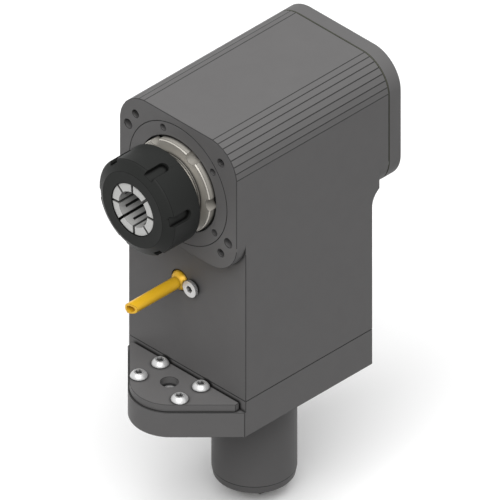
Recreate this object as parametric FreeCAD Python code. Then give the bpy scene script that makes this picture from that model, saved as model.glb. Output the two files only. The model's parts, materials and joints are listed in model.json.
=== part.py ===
import FreeCAD, Part
import math
import os

# A driven tool holder for the turret of a lathe, in millimetres.
# The origin is on the shank axis, in the mounting face that rests on the turret.
# Z points up, away from the turret, and the spindle nose looks along -Y.

# Fits and clearances
FIT_GAP = 0.02              # round a piece that stays in its seat
RUN_GAP = 0.06              # round a piece that turns in another
FREE_GAP = 0.3              # between faces that pass each other

# Housing
SPINDLE_HEIGHT = 160.0      # spindle axis above the mounting face
HEAD_WIDTH = 96.0           # across X, shared by the body under the head
HEAD_HEIGHT = 90.0
HEAD_REAR = 62.5
HEAD_RIM = 7.5              # length of the round cornered rim at each end of the head
HEAD_CORNER_R = 22.0
CORNER_FACETS = 7           # flat strips along each upper corner
BODY_REAR = 49.0
FLARE_R = 12.0              # hollow curve from the body's rear wall out to the head
FLARE_RISE = 6.8            # end of that curve, above the underside of the head

# Mounting flange with its shank
FLANGE_THICKNESS = 25.0
NOSE_HEIGHT = 17.5
NOSE_R = 25.0               # round tip between flanks at 45 degrees
NOSE_SIDE = 0.86            # straight side before each flank
SHANK_R = 25.0
SHANK_LENGTH = 75.0
SHANK_LEAD = 5.4            # tapered end of the shank
SHANK_LEAD_BEVEL = 0.7
SHANK_SEAM_TURN = 22.5      # turns the seam of the shank's wall clear of the rack
SHANK_TIP_R = 24.2
SHANK_BORE_R = 13.0
SPIGOT_HEIGHT = 5.0         # centring spigot that stands up into the housing
SPIGOT_BORE_R = 20.0
RACK_TOP = -14.0            # rack teeth across the rear of the shank
RACK_PITCH = 4.0
RACK_TEETH = 11
RACK_TIP_Y = 23.2
RACK_DEPTH = 2.0

# Cover plate of the coolant entry, on the nose
PLATE_THICKNESS = 5.0
PLATE_INSET = 1.0
PLATE_SIDE_INSET = 4.5
PLATE_GAP = 1.0             # between the plate and the flange behind it
PORT_FROM_TIP = 23.8        # from the tip of the nose to the middle of the port
PORT_R = 5.25
PLUG_R = 4.85
PLUG_LENGTH = 8.0
PLUG_RECESS = 0.6
INLET_R = 3.5
PASSAGE_R = 2.0
PASSAGE_INSET = 13.0        # rising coolant passage, behind the front wall of the body
PASSAGE_START_Z = 4.0
PLATE_SCREW_X = 16.7
PLATE_SCREW_FROM_TIP = 15.5
PLATE_SCREW_FROM_BODY = 5.505

# Screws
M6_R = 3.0
M8_R = 4.0
BUTTON_HEAD_R = 5.25
BUTTON_HEAD_H = 3.3
BUTTON_TOP_R = 2.9
BUTTON_SOCKET = 4.0
PLATE_SCREW_LENGTH = 14.0
FLANGE_SCREW_INSET_X = 10.0
FLANGE_SCREW_INSET_Y = 12.0
FLANGE_SCREW_GRIP = 16.0    # length in the housing
M8_HEAD_R = 6.5
M8_HEAD_H = 8.0
M8_SOCKET = 6.0
DOWEL_R = 4.0
DOWEL_LENGTH = 20.0
DOWEL_SPREAD = 20.0         # from the middle screws to the dowels, along Y

# Holes in the front face, round the spindle axis
FACE_HOLE_X = 35.0
FACE_HOLE_Z = 32.0
FACE_HOLE_R = 2.5
FACE_HOLE_DEPTH = 15.0
PIN_HOLE_R = 3.0
PIN_HOLE_DEPTH = 10.0
PIN_HOLE_X = 41.0
PIN_HOLE_Z = 22.0

# Front cover ring, screwed into the head
COVER_R = 40.0
COVER_DEPTH = 9.5
COVER_BORE_R = 31.0
COVER_LIP_R = 27.5
COVER_LIP = 2.3
SPANNER_HOLES = 5
SPANNER_HOLE_R = 2.1
SPANNER_HOLE_PITCH_R = 36.0
SPANNER_HOLE_DEPTH = 5.0
SPANNER_HOLE_START = -20.0
COVER_RELIEF = 0.6          # cut back beside the bearing's rings
SEAL_LENGTH = 3.2
SEAL_LIP = 1.0              # thickness of the lip, front to rear
SEAL_LIP_SLOPE = 0.6
SEAL_LIP_HEIGHT = 1.5
COVER_RING_GROOVE = 2.4
COVER_RING_R = 0.9

# Slotted ring on the spindle, in front of the cover ring
SLOTTED_R = 30.0
SLOTTED_STAND_OUT = 4.0     # in front of the head
SLOTTED_LENGTH = 7.3
SLOTTED_LIP = 1.5           # inner lip that rests on the spindle's shoulder
SLOTTED_NOTCHES = 6
SLOTTED_NOTCH_R = 4.0
SLOTTED_NOTCH_FLOOR = 26.3
SLOTTED_START = 28.5
SLOTTED_CHAMFER = 0.8

# Bearings: a pair behind the nose and one at the rear of the spindle,
# a pair under the drive gear and one at the end of the shank
NOSE_BEARING_BORE_R = 22.5
NOSE_BEARING_OUTER_R = 34.0
NOSE_BEARING_WIDTH = 12.0
NOSE_BALL_R = 3.4
NOSE_BALLS = 14
SHAFT_BEARING_BORE_R = 12.5
SHAFT_BEARING_OUTER_R = 26.0
SHAFT_BEARING_WIDTH = 15.0
SHAFT_BALL_R = 3.95
SHAFT_BALLS = 9
FOOT_BEARING_BORE_R = 10.0
FOOT_BEARING_OUTER_R = 21.0
FOOT_BEARING_WIDTH = 12.0
FOOT_BALL_R = 3.2
FOOT_BALLS = 9
REAR_BEARING_Y = 33.0
FOOT_BEARING_RECESS = 6.0   # from the end of the shank
RACE_GAP = 0.1              # between a ball and its race
BALL_POCKET_GAP = 0.15
CAGE_WALL = 1.2
CAGE_EDGE = 0.9
CIRCLIP_THICKNESS = 1.5
CIRCLIP_GROOVE = 1.5
CIRCLIP_HEIGHT = 3.2
CIRCLIP_OPENING = 6.0       # between its two ends
FOOT_SEAL_LENGTH = 3.4
FOOT_SEAL_RECESS = 0.5      # from the end of the shank
FOOT_SEAL_LIP_HEIGHT = 2.0

# Bevel gears, equal and at right angles
GEAR_TEETH = 24
GEAR_DIAMETER = 48.0
GEAR_FACE = 9.0
GEAR_WEB = 0.9              # metal under the small end of the teeth
GEAR_BACKLASH = 0.12
GEAR_RIM = 1.5              # behind the roots of the teeth
GEAR_CUT_RUNOUT = 1.06      # how far past the big end the gaps are cut, as a share of its distance
PRESSURE_ANGLE = 20.0
NOSE_HUB_BEHIND = 5.0       # from the pitch circle to the back of the hub
NOSE_GEAR_HUB_R = 24.5
DRIVE_HUB_BEHIND = 8.0
DRIVE_GEAR_HUB_R = 16.0
DRIVE_GEAR_BORE_R = 11.0
GEAR_CAVITY_ROOM = 6.0      # round the pitch circle of the spindle gear
GEAR_WELL_ROOM = 2.02       # round the pitch circle of the drive gear
GEAR_CAVITY_REAR = -8.0
SLEEVE_CAVITY_R = 20.0
DRIVE_WELL_BELOW = 14.0     # top of the drive bore, under the spindle axis
KEY_WIDTH = 6.0
KEY_HEIGHT = 5.0
KEY_LENGTH = 7.0
KEY_DEPTH = 2.8             # sunk in the shaft
SPINDLE_KEY_STEP = 0.7      # from the back of the gear to its key
DRIVE_KEY_STEP = 1.2

# Spindle, from its taper to its rear end
SPINDLE_NOSE_R = 25.0
SPINDLE_EDGE = 0.8
SPINDLE_REAR = 58.0
TAPER_MOUTH_R = 20.05
TAPER_ANGLE = 8.0
TAPER_LENGTH = 32.0
SOCKET_ROOM = 7.6           # behind the collet
NECK_R = 21.8               # behind the nose thread
NECK_STEP = 0.6             # from the nut to the neck
NECK_COLLAR = 0.5           # raised edge of the neck, in front of the slotted ring
NECK_COLLAR_LENGTH = 1.2
SLEEVE_TO_GEAR = 0.625      # keeps the sleeve clear of the washer on the drive gear
LOCK_NUT_R = 19.0
LOCK_NUT_LENGTH = 7.0
LOCK_NUT_SLOTS = 4
LOCK_NUT_SLOT_WIDTH = 5.0
LOCK_NUT_SLOT_DEPTH = 2.0

# Collet
COLLET_RECESS = 0.5         # behind the face of the nut
COLLET_RIM = 0.4
COLLET_LENGTH = 46.0
COLLET_BORE_R = 11.5
COLLET_FACE_R = 16.8
COLLET_MAX_R = 20.5
COLLET_CONE_ANGLE = 30.0
COLLET_CONE_LENGTH = 4.2
COLLET_GROOVE_R = 17.6
COLLET_GROOVE = 2.8
COLLET_SLOTS = 8
COLLET_SLOT_WIDTH = 1.5
COLLET_SLOT_START = -3.0
COLLET_FRONT_SLOT = 40.0
COLLET_REAR_SLOT = 41.5
COLLET_SEAT_GAP = 0.1       # between the collet and the spindle's taper

# Clamping nut and the ring in it that draws the collet
NUT_STAND_OFF = 8.2         # between the nut and the slotted ring
NUT_LENGTH = 25.4
NUT_R = 31.0
NUT_FACE_R = 24.5
NUT_CONE_LENGTH = 3.3
NUT_BEVEL = 0.8
NUT_OPENING_R = 17.1
NUT_OPENING_LAND = 0.7
NUT_WALL = 2.9
NUT_POCKET_R = 23.8
NUT_POCKET = 12.1           # from the face of the nut to the end of the spindle
NUT_SLOTS = 6
NUT_SLOT_WIDTH = 6.5
NUT_SLOT_LENGTH = 17.3
NUT_SLOT_FLOOR = 28.3
NUT_SLOT_START = 21.5
DRAW_RING_ROOM = 1.6        # between the draw ring and the end of the spindle
DRAW_RING_LIP_R = 18.2
DRAW_RING_LIP_GAP = 0.1

# Drive shaft
SHAFT_R = 11.0
SHAFT_COLLAR_R = 16.0
SHAFT_COLLAR = 6.0
TANG_REACH = 11.0           # below the shank
TANG_LENGTH = 9.5
TANG_HALF_WIDTH = 4.0
END_WASHER_R = 14.0
END_WASHER_THICKNESS = 3.0
END_WASHER_EDGE = 0.5
END_SCREW_HEAD_R = 7.0
END_SCREW_LENGTH = 20.0
END_SCREW_SOCKET = 5.0

# Rear cover
REAR_COVER_THICKNESS = 10.0
GASKET = 0.4
REAR_POCKET_R = 22.3
REAR_POCKET_END = 64.0
M6_HEAD_R = 5.0
M6_HEAD_H = 6.0
M6_SOCKET = 5.0
REAR_SCREW_LENGTH = 18.0

# Coolant nozzle
NOZZLE_X = -5.75
NOZZLE_Z = 84.7
NOZZLE_BALL_R = 6.75
NOZZLE_BALL_SINK = 2.2      # ball centre behind the body's front face
NOZZLE_SEAT_DEPTH = 9.8     # from the front wall of the body to the bottom of the seat
NOZZLE_SEAT_LENGTH = 4.6
NOZZLE_SEAT_BORE_R = 3.0
NOZZLE_TUBE_R = 3.75
NOZZLE_TUBE_BORE_R = 2.3
NOZZLE_REACH = 41.7         # from the front wall of the body to the tip
NOZZLE_TIP_SLOPE = 0.7      # of the slanted part of the tip
NOZZLE_TIP_FLAT = -0.65     # where the slanted part starts, from the axis
NOZZLE_TIP_TURN = 18.5      # the slanted part looks this far below the horizontal
CLAMP_SCREW_X = 5.3
CLAMP_SCREW_Z = 85.4
CLAMP_HEAD_R = 5.5
CLAMP_HEAD_STAND_OUT = 3.8
CLAMP_HEAD_THICKNESS = 1.9
CLAMP_SOCKET_DEPTH = 2.5
CLAMP_KNURLS = 36
CLAMP_KNURL_R = 0.35
CLAMP_NECK_R = 3.6
CLAMP_SCREW_DEPTH = 14.0

# Seals in the mounting face and in the joint above the flange
FACE_RING_R = 28.0
FACE_RING_SECTION_R = 1.3
PORT_RING_SECTION_R = 0.9
PORT_RING_GAP = 2.0
RING_SQUEEZE = 0.04

# Sizes worked out from those above
GEAR_R = GEAR_DIAMETER / 2
GEAR_MODULE = GEAR_DIAMETER / GEAR_TEETH
NOSE_GEAR_BACK = GEAR_R + NOSE_HUB_BEHIND
DRIVE_GEAR_BACK = GEAR_R + DRIVE_HUB_BEHIND
GEAR_CAVITY_R = GEAR_R + GEAR_CAVITY_ROOM
GEAR_WELL_R = GEAR_R + GEAR_WELL_ROOM
SLEEVE_R = GEAR_R * SLEEVE_TO_GEAR
NOSE_PAIR_REAR = -NOSE_GEAR_BACK
COVER_REAR = NOSE_PAIR_REAR - 2 * NOSE_BEARING_WIDTH
HEAD_FRONT = COVER_REAR - COVER_DEPTH
BODY_FRONT = HEAD_FRONT + HEAD_RIM
HEAD_CORE_REAR = HEAD_REAR - HEAD_RIM
HALF_WIDTH = HEAD_WIDTH / 2
SHANK_STRAIGHT = SHANK_LENGTH - SHANK_LEAD
NOSE_TANGENT = NOSE_R * math.sqrt(0.5)
NOSE_CENTRE_Y = BODY_FRONT - NOSE_SIDE - HALF_WIDTH + 2 * NOSE_TANGENT
NOSE_TIP_Y = NOSE_CENTRE_Y - NOSE_R
PORT_Y = NOSE_TIP_Y + PORT_FROM_TIP
PASSAGE_Y = BODY_FRONT + PASSAGE_INSET
PLATE_HALF_WIDTH = HALF_WIDTH - PLATE_SIDE_INSET
FLANGE_SCREW_X = HALF_WIDTH - FLANGE_SCREW_INSET_X
BODY_MIDDLE_Y = (BODY_FRONT + BODY_REAR) / 2
FLANGE_SCREW_YS = (BODY_FRONT + FLANGE_SCREW_INSET_Y, BODY_MIDDLE_Y, BODY_REAR - FLANGE_SCREW_INSET_Y)
DOWEL_PLACES = ((FLANGE_SCREW_X, BODY_MIDDLE_Y - DOWEL_SPREAD),
                (-FLANGE_SCREW_X, BODY_MIDDLE_Y + DOWEL_SPREAD))
SLOTTED_FRONT = HEAD_FRONT - SLOTTED_STAND_OUT
SLOTTED_REAR = SLOTTED_FRONT + SLOTTED_LENGTH
UPPER_PAIR_TOP = SPINDLE_HEIGHT - DRIVE_GEAR_BACK
UPPER_PAIR_BOTTOM = UPPER_PAIR_TOP - 2 * SHAFT_BEARING_WIDTH
DRIVE_WELL_TOP = SPINDLE_HEIGHT - DRIVE_WELL_BELOW
CONE_DISTANCE = GEAR_R * math.sqrt(2)
SMALL_END = 1 - GEAR_FACE / CONE_DISTANCE
GEAR_FLAT = (GEAR_R + 1.25 * GEAR_MODULE * math.sqrt(0.5)) * SMALL_END + GEAR_WEB
PLATE_BOTTOM = NOSE_HEIGHT
PLATE_TOP = NOSE_HEIGHT + PLATE_THICKNESS
NUT_REAR = SLOTTED_FRONT - NUT_STAND_OFF
NUT_FRONT = NUT_REAR - NUT_LENGTH
SPINDLE_FRONT = NUT_FRONT + NUT_POCKET
NECK_FRONT = NUT_REAR + NECK_STEP
NECK_REAR = SLOTTED_FRONT + SLOTTED_LIP + FIT_GAP
DRAW_RING_REAR = SPINDLE_FRONT - DRAW_RING_ROOM
COLLET_FRONT = NUT_FRONT + COLLET_RECESS
COLLET_REAR = COLLET_FRONT + COLLET_LENGTH
SOCKET_REAR = COLLET_REAR + SOCKET_ROOM
BALL_CENTRE_Y = BODY_FRONT + NOZZLE_BALL_SINK
NOZZLE_SEAT_REAR = BODY_FRONT + NOZZLE_SEAT_DEPTH
NOZZLE_SEAT_FRONT = NOZZLE_SEAT_REAR - NOZZLE_SEAT_LENGTH
NOZZLE_TIP = BODY_FRONT - NOZZLE_REACH
CLAMP_HEAD_FRONT = BODY_FRONT - CLAMP_HEAD_STAND_OUT
CLAMP_SCREW_END = BODY_FRONT + CLAMP_SCREW_DEPTH
REAR_BEARING_END = REAR_BEARING_Y + SHAFT_BEARING_WIDTH
FOOT_BEARING_Z = -SHANK_LENGTH + FOOT_BEARING_RECESS
FOOT_BEARING_TOP = FOOT_BEARING_Z + FOOT_BEARING_WIDTH
TANG_END = -SHANK_LENGTH - TANG_REACH
TANG_ROOT = TANG_END + TANG_LENGTH
PLUG_TOP = NOSE_HEIGHT - PLUG_RECESS
NOSE_GEAR_Y = -NOSE_GEAR_BACK
SLEEVE_FRONT = -GEAR_FLAT
REAR_COVER_FRONT = HEAD_REAR + GASKET

V = FreeCAD.Vector
X_AXIS = V(1, 0, 0)
Y_AXIS = V(0, 1, 0)
Z_AXIS = V(0, 0, 1)
SPINDLE_POINT = V(0, 0, SPINDLE_HEIGHT)


def turned_y(points):
    """A solid turned about the spindle axis from (radius, y) points."""
    corners = [V(radius, y, SPINDLE_HEIGHT) for radius, y in points]
    face = Part.Face(Part.makePolygon(corners + corners[:1]))
    return face.revolve(SPINDLE_POINT, Y_AXIS, 360)


def turned_z(points):
    """A solid turned about the shank axis from (radius, z) points."""
    corners = [V(radius, 0, z) for radius, z in points]
    face = Part.Face(Part.makePolygon(corners + corners[:1]))
    return face.revolve(V(0, 0, 0), Z_AXIS, 360)


def ring_y(inner_r, outer_r, start, end):
    """A plain ring about the spindle axis."""
    return turned_y([(inner_r, start), (outer_r, start), (outer_r, end), (inner_r, end)])


def ring_z(inner_r, outer_r, bottom, top):
    """A plain ring about the shank axis."""
    return turned_z([(inner_r, bottom), (outer_r, bottom), (outer_r, top), (inner_r, top)])


def rod(radius, start, end):
    """A round bar from one point to another."""
    return Part.makeCylinder(radius, (end - start).Length, start, end - start)


def block(low, high):
    """A box between two opposite corners."""
    size = high - low
    return Part.makeBox(size.x, size.y, size.z, low)


def extruded(points, along):
    """A prism on a flat closed outline."""
    return Part.Face(Part.makePolygon(points + points[:1])).extrude(along)


def placed(shape, point, direction):
    """A copy of a shape drawn along +Z from the origin, moved to a point and direction."""
    copy = shape.copy()
    copy.Placement = FreeCAD.Placement(point, FreeCAD.Rotation(Z_AXIS, direction))
    return copy


def hexagon(across_flats, depth):
    """A hexagonal socket cut that ends at the origin and opens upwards."""
    corner_r = across_flats / math.sqrt(3)
    turns = [math.radians(60 * k) for k in range(6)]
    points = [V(corner_r * math.cos(t), corner_r * math.sin(t), -depth) for t in turns]
    return extruded(points, V(0, 0, depth + FREE_GAP))


def around(shape, count, start, point, axis):
    """Copies of a shape turned round an axis in equal steps, from a start angle."""
    copies = []
    for k in range(count):
        copy = shape.copy()
        copy.rotate(point, axis, start + 360 * k / count)
        copies.append(copy)
    return copies


def at_clock(angle, radius, y):
    """A point round the spindle axis, clockwise from the top as seen from the front."""
    turn = math.radians(angle)
    return V(radius * math.sin(turn), y, SPINDLE_HEIGHT + radius * math.cos(turn))


def export(name, shapes):
    """Writes one node, made of one solid or of several separate ones."""
    solids = []
    for shape in shapes if isinstance(shapes, list) else [shapes]:
        solids.extend(shape.Solids)
    node = solids[0] if len(solids) == 1 else Part.makeCompound(solids)
    node.exportStep(os.path.join("parts", name + ".step"))


# Screws


def cap_screw(radius, head_r, head_h, socket, length):
    """A socket head screw, its head's seat at the origin and its thread below."""
    screw = rod(head_r, V(0, 0, 0), V(0, 0, head_h)).fuse(rod(radius, V(0, 0, -length), V(0, 0, 0)))
    rim = [edge for edge in screw.Edges if edge.BoundBox.ZMin > head_h - FIT_GAP]
    screw = screw.makeChamfer(0.1 * head_r, rim)
    return screw.cut(placed(hexagon(socket, head_h / 2), V(0, 0, head_h), Z_AXIS))


def button_screw(radius, length):
    """A domed socket screw, its head's seat at the origin and its thread below."""
    edge_h = 0.15 * BUTTON_HEAD_H
    drop = BUTTON_HEAD_R ** 2 - BUTTON_TOP_R ** 2 + edge_h ** 2 - BUTTON_HEAD_H ** 2
    centre_z = drop / (2 * (edge_h - BUTTON_HEAD_H))
    dome_r = math.hypot(BUTTON_HEAD_R, edge_h - centre_z)
    head = rod(BUTTON_HEAD_R, V(0, 0, 0), V(0, 0, BUTTON_HEAD_H))
    head = head.common(Part.makeSphere(dome_r, V(0, 0, centre_z)))
    screw = head.fuse(rod(radius, V(0, 0, -length), V(0, 0, 0)))
    return screw.cut(placed(hexagon(BUTTON_SOCKET, 0.65 * BUTTON_HEAD_H), V(0, 0, BUTTON_HEAD_H), Z_AXIS))


# Mounting flange and what is fixed to it


def nose_outline(inset, half_width, rear_y, z):
    """The outline of the nose: short sides, flanks at 45 degrees and a round tip."""
    radius = NOSE_R - inset
    tangent = radius * math.sqrt(0.5)
    flank_y = NOSE_CENTRE_Y - tangent + (half_width - tangent)
    right = [V(half_width, rear_y, z), V(half_width, flank_y, z), V(tangent, NOSE_CENTRE_Y - tangent, z)]
    left = [V(-point.x, point.y, z) for point in reversed(right)]
    tip = Part.Arc(right[-1], V(0, NOSE_CENTRE_Y - radius, z), left[0])
    edges = [Part.makeLine(right[0], right[1]), Part.makeLine(right[1], right[2]), tip.toShape()]
    edges += [Part.makeLine(left[0], left[1]), Part.makeLine(left[1], left[2])]
    edges.append(Part.makeLine(left[2], right[0]))
    return Part.Wire(edges)


def rack_cut():
    """The row of rack teeth across the rear of the shank, as the metal taken away."""
    clear_y = SHANK_R + 1
    points = [V(0, clear_y, RACK_TOP), V(0, RACK_TIP_Y, RACK_TOP)]
    for k in range(RACK_TEETH):
        top = RACK_TOP - RACK_PITCH * k
        points.append(V(0, RACK_TIP_Y, top - 0.2 * RACK_PITCH))
        points.append(V(0, RACK_TIP_Y - RACK_DEPTH, top - 0.45 * RACK_PITCH))
        points.append(V(0, RACK_TIP_Y - RACK_DEPTH, top - 0.75 * RACK_PITCH))
        points.append(V(0, RACK_TIP_Y, top - RACK_PITCH))
    points.append(V(0, clear_y, RACK_TOP - RACK_PITCH * RACK_TEETH))
    points = [V(-SHANK_R, point.y, point.z) for point in points]
    return extruded(points, V(2 * SHANK_R, 0, 0))


def ring_groove(centre, ring_r, section_r, depth_direction):
    """A flat groove in a face for a round seal, open at the face."""
    width = 2 * section_r + FREE_GAP
    depth = 2 * section_r - RING_SQUEEZE
    start = centre - depth_direction * FREE_GAP
    end = centre + depth_direction * depth
    outside = rod(ring_r + width / 2, start, end)
    return outside.cut(rod(ring_r - width / 2, start, end))


def seal_ring(centre, ring_r, section_r, depth_direction):
    """A round seal, pressed flush into its groove."""
    return Part.makeTorus(ring_r, section_r - RING_SQUEEZE, centre + depth_direction * section_r, Z_AXIS)


def shank_outline():
    """Half section of the shank, from the mounting face to its tapered end."""
    lead_end = SHANK_LENGTH - 1
    return [(0, 0), (SHANK_R, 0), (SHANK_R, -SHANK_STRAIGHT), (SHANK_TIP_R, -lead_end),
            (SHANK_TIP_R - SHANK_LEAD_BEVEL, -SHANK_LENGTH), (0, -SHANK_LENGTH)]


def shank_bore():
    """The stepped bore for the drive shaft, its lower bearing, its circlip and its seal."""
    seat_r = FOOT_BEARING_OUTER_R + FIT_GAP
    groove_r = seat_r + CIRCLIP_GROOVE
    groove_low = FOOT_BEARING_Z - CIRCLIP_THICKNESS
    top = FLANGE_THICKNESS + SPIGOT_HEIGHT + 1
    return turned_z([
        (0, -SHANK_LENGTH - 1), (seat_r, -SHANK_LENGTH - 1), (seat_r, groove_low), (groove_r, groove_low),
        (groove_r, FOOT_BEARING_Z), (seat_r, FOOT_BEARING_Z), (seat_r, FOOT_BEARING_TOP),
        (SHANK_BORE_R, FOOT_BEARING_TOP), (SHANK_BORE_R, FLANGE_THICKNESS - SPIGOT_HEIGHT),
        (SPIGOT_BORE_R, FLANGE_THICKNESS), (SPIGOT_BORE_R, top), (0, top)])


def flange_screw_places():
    """The places of the screws that hold the flange to the housing."""
    return [(side * FLANGE_SCREW_X, y) for side in (-1, 1) for y in FLANGE_SCREW_YS]


def plate_screw_places():
    """The places of the four screws in the cover plate."""
    rows = (NOSE_TIP_Y + PLATE_SCREW_FROM_TIP, BODY_FRONT - PLATE_SCREW_FROM_BODY)
    return [(side * PLATE_SCREW_X, y) for side in (-1, 1) for y in rows]


def mounting_flange():
    """The base block with its nose, centring spigot and shank, in one piece."""
    base = block(V(-HALF_WIDTH, BODY_FRONT, 0), V(HALF_WIDTH, BODY_REAR, FLANGE_THICKNESS))
    nose = Part.Face(nose_outline(0, HALF_WIDTH, BODY_FRONT + 1, 0)).extrude(V(0, 0, NOSE_HEIGHT))
    spigot_r = SHAFT_BEARING_OUTER_R - FIT_GAP
    spigot = rod(spigot_r, V(0, 0, FLANGE_THICKNESS - 1), V(0, 0, FLANGE_THICKNESS + SPIGOT_HEIGHT))
    shank = turned_z(shank_outline())
    shank.rotate(V(0, 0, 0), Z_AXIS, SHANK_SEAM_TURN)
    solid = base.fuse([nose, spigot, shank]).removeSplitter()
    cuts = [shank_bore(), rack_cut()]
    for x, y in flange_screw_places():
        cuts.append(rod(M8_HEAD_R + 2 * FREE_GAP, V(x, y, -1), V(x, y, M8_HEAD_H + 1)))
        cuts.append(rod(M8_R + FREE_GAP, V(x, y, 0), V(x, y, FLANGE_THICKNESS + 1)))
    for x, y in DOWEL_PLACES:
        low = FLANGE_THICKNESS - DOWEL_LENGTH / 2
        cuts.append(rod(DOWEL_R + FIT_GAP, V(x, y, low), V(x, y, FLANGE_THICKNESS + 1)))
    for x, y in plate_screw_places():
        low = PLATE_TOP - PLATE_SCREW_LENGTH - 1
        cuts.append(rod(M6_R + FIT_GAP, V(x, y, low), V(x, y, NOSE_HEIGHT + 1)))
    plug_floor = PLUG_TOP - PLUG_LENGTH
    cuts.append(rod(PLUG_R + FIT_GAP, V(0, PORT_Y, plug_floor), V(0, PORT_Y, NOSE_HEIGHT + 1)))
    cuts.append(rod(INLET_R, V(0, PORT_Y, -1), V(0, PORT_Y, plug_floor + 1)))
    joint = V(NOZZLE_X, PASSAGE_Y, FLANGE_THICKNESS)
    entry = V(0, PORT_Y, PASSAGE_START_Z)
    cuts.append(rod(PASSAGE_R, entry, joint + (joint - entry) * 0.1))
    cuts.append(ring_groove(V(0, 0, 0), FACE_RING_R, FACE_RING_SECTION_R, Z_AXIS))
    cuts.append(ring_groove(V(0, PORT_Y, 0), INLET_R + PORT_RING_GAP, PORT_RING_SECTION_R, Z_AXIS))
    cuts.append(ring_groove(V(0, PORT_Y, NOSE_HEIGHT), PORT_R + PORT_RING_GAP, PORT_RING_SECTION_R, -Z_AXIS))
    cuts.append(ring_groove(joint, PASSAGE_R + PORT_RING_GAP, PORT_RING_SECTION_R, -Z_AXIS))
    return solid.cut(cuts)


def coolant_cover_plate():
    """The plate over the coolant entry, with its four screw holes and its port."""
    outline = nose_outline(PLATE_INSET, PLATE_HALF_WIDTH, BODY_FRONT - PLATE_GAP, PLATE_BOTTOM)
    plate = Part.Face(outline).extrude(V(0, 0, PLATE_THICKNESS))
    cuts = [rod(PORT_R, V(0, PORT_Y, PLATE_BOTTOM - 1), V(0, PORT_Y, PLATE_TOP + 1))]
    for x, y in plate_screw_places():
        cuts.append(rod(M6_R + FREE_GAP, V(x, y, PLATE_BOTTOM - 1), V(x, y, PLATE_TOP + 1)))
    return plate.cut(cuts)


def cover_plate_screws():
    """Four domed screws through the cover plate."""
    screw = button_screw(M6_R, PLATE_SCREW_LENGTH)
    return [placed(screw, V(x, y, PLATE_TOP), Z_AXIS) for x, y in plate_screw_places()]


def coolant_port_plug():
    """The socket plug that closes the coolant port under the plate."""
    plug = rod(PLUG_R, V(0, PORT_Y, PLUG_TOP - PLUG_LENGTH), V(0, PORT_Y, PLUG_TOP))
    return plug.cut(placed(hexagon(M6_SOCKET, PLUG_LENGTH / 2), V(0, PORT_Y, PLUG_TOP), Z_AXIS))


def flange_screws():
    """Six socket head screws, sunk in the mounting face, that hold the flange to the housing."""
    length = FLANGE_THICKNESS - M8_HEAD_H - 1 + FLANGE_SCREW_GRIP
    screw = cap_screw(M8_R, M8_HEAD_R, M8_HEAD_H, M8_SOCKET, length)
    return [placed(screw, V(x, y, M8_HEAD_H + 1), -Z_AXIS) for x, y in flange_screw_places()]


def flange_dowels():
    """Two dowels that line the flange up with the housing."""
    low = FLANGE_THICKNESS - DOWEL_LENGTH / 2
    return [rod(DOWEL_R, V(x, y, low), V(x, y, low + DOWEL_LENGTH)) for x, y in DOWEL_PLACES]


def coolant_seal_rings():
    """The small seals round the coolant inlet, under the plate and in the joint."""
    inlet = seal_ring(V(0, PORT_Y, 0), INLET_R + PORT_RING_GAP, PORT_RING_SECTION_R, Z_AXIS)
    plate = seal_ring(V(0, PORT_Y, NOSE_HEIGHT), PORT_R + PORT_RING_GAP, PORT_RING_SECTION_R, -Z_AXIS)
    joint = V(NOZZLE_X, PASSAGE_Y, FLANGE_THICKNESS)
    return [inlet, plate, seal_ring(joint, PASSAGE_R + PORT_RING_GAP, PORT_RING_SECTION_R, -Z_AXIS)]


# Housing and covers


def head_outline(faceted, y):
    """The outline of the head, its upper corners round or cut in flat strips."""
    top = SPINDLE_HEIGHT + HEAD_HEIGHT / 2
    bottom = SPINDLE_HEIGHT - HEAD_HEIGHT / 2
    cx = HALF_WIDTH - HEAD_CORNER_R
    high = top - HEAD_CORNER_R
    low = bottom + HEAD_CORNER_R
    slant = HEAD_CORNER_R * math.sqrt(0.5)
    if faceted:
        step = 90 / (CORNER_FACETS + 1)
        reach = HEAD_CORNER_R / math.cos(math.radians(step / 2))
        turns = [math.radians(step * (k + 0.5)) for k in range(CORNER_FACETS + 1)]
        right = [V(cx + reach * math.sin(t), y, high + reach * math.cos(t)) for t in turns]
        left = [V(-point.x, y, point.z) for point in reversed(right)]
        points = left + right
        edges = [Part.makeLine(points[k], points[k + 1]) for k in range(len(points) - 1)]
        start, end = right[-1], left[0]
    else:
        start, end = V(HALF_WIDTH, y, high), V(-HALF_WIDTH, y, high)
        edges = [Part.Arc(end, V(-cx - slant, y, high + slant), V(-cx, y, top)).toShape(),
                 Part.makeLine(V(-cx, y, top), V(cx, y, top)),
                 Part.Arc(V(cx, y, top), V(cx + slant, y, high + slant), start).toShape()]
    edges += [Part.makeLine(start, V(HALF_WIDTH, y, low)),
              Part.Arc(V(HALF_WIDTH, y, low), V(cx + slant, y, low - slant), V(cx, y, bottom)).toShape(),
              Part.makeLine(V(cx, y, bottom), V(-cx, y, bottom)),
              Part.Arc(V(-cx, y, bottom), V(-cx - slant, y, low - slant), V(-HALF_WIDTH, y, low)).toShape(),
              Part.makeLine(V(-HALF_WIDTH, y, low), end)]
    return Part.Wire(edges)


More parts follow.
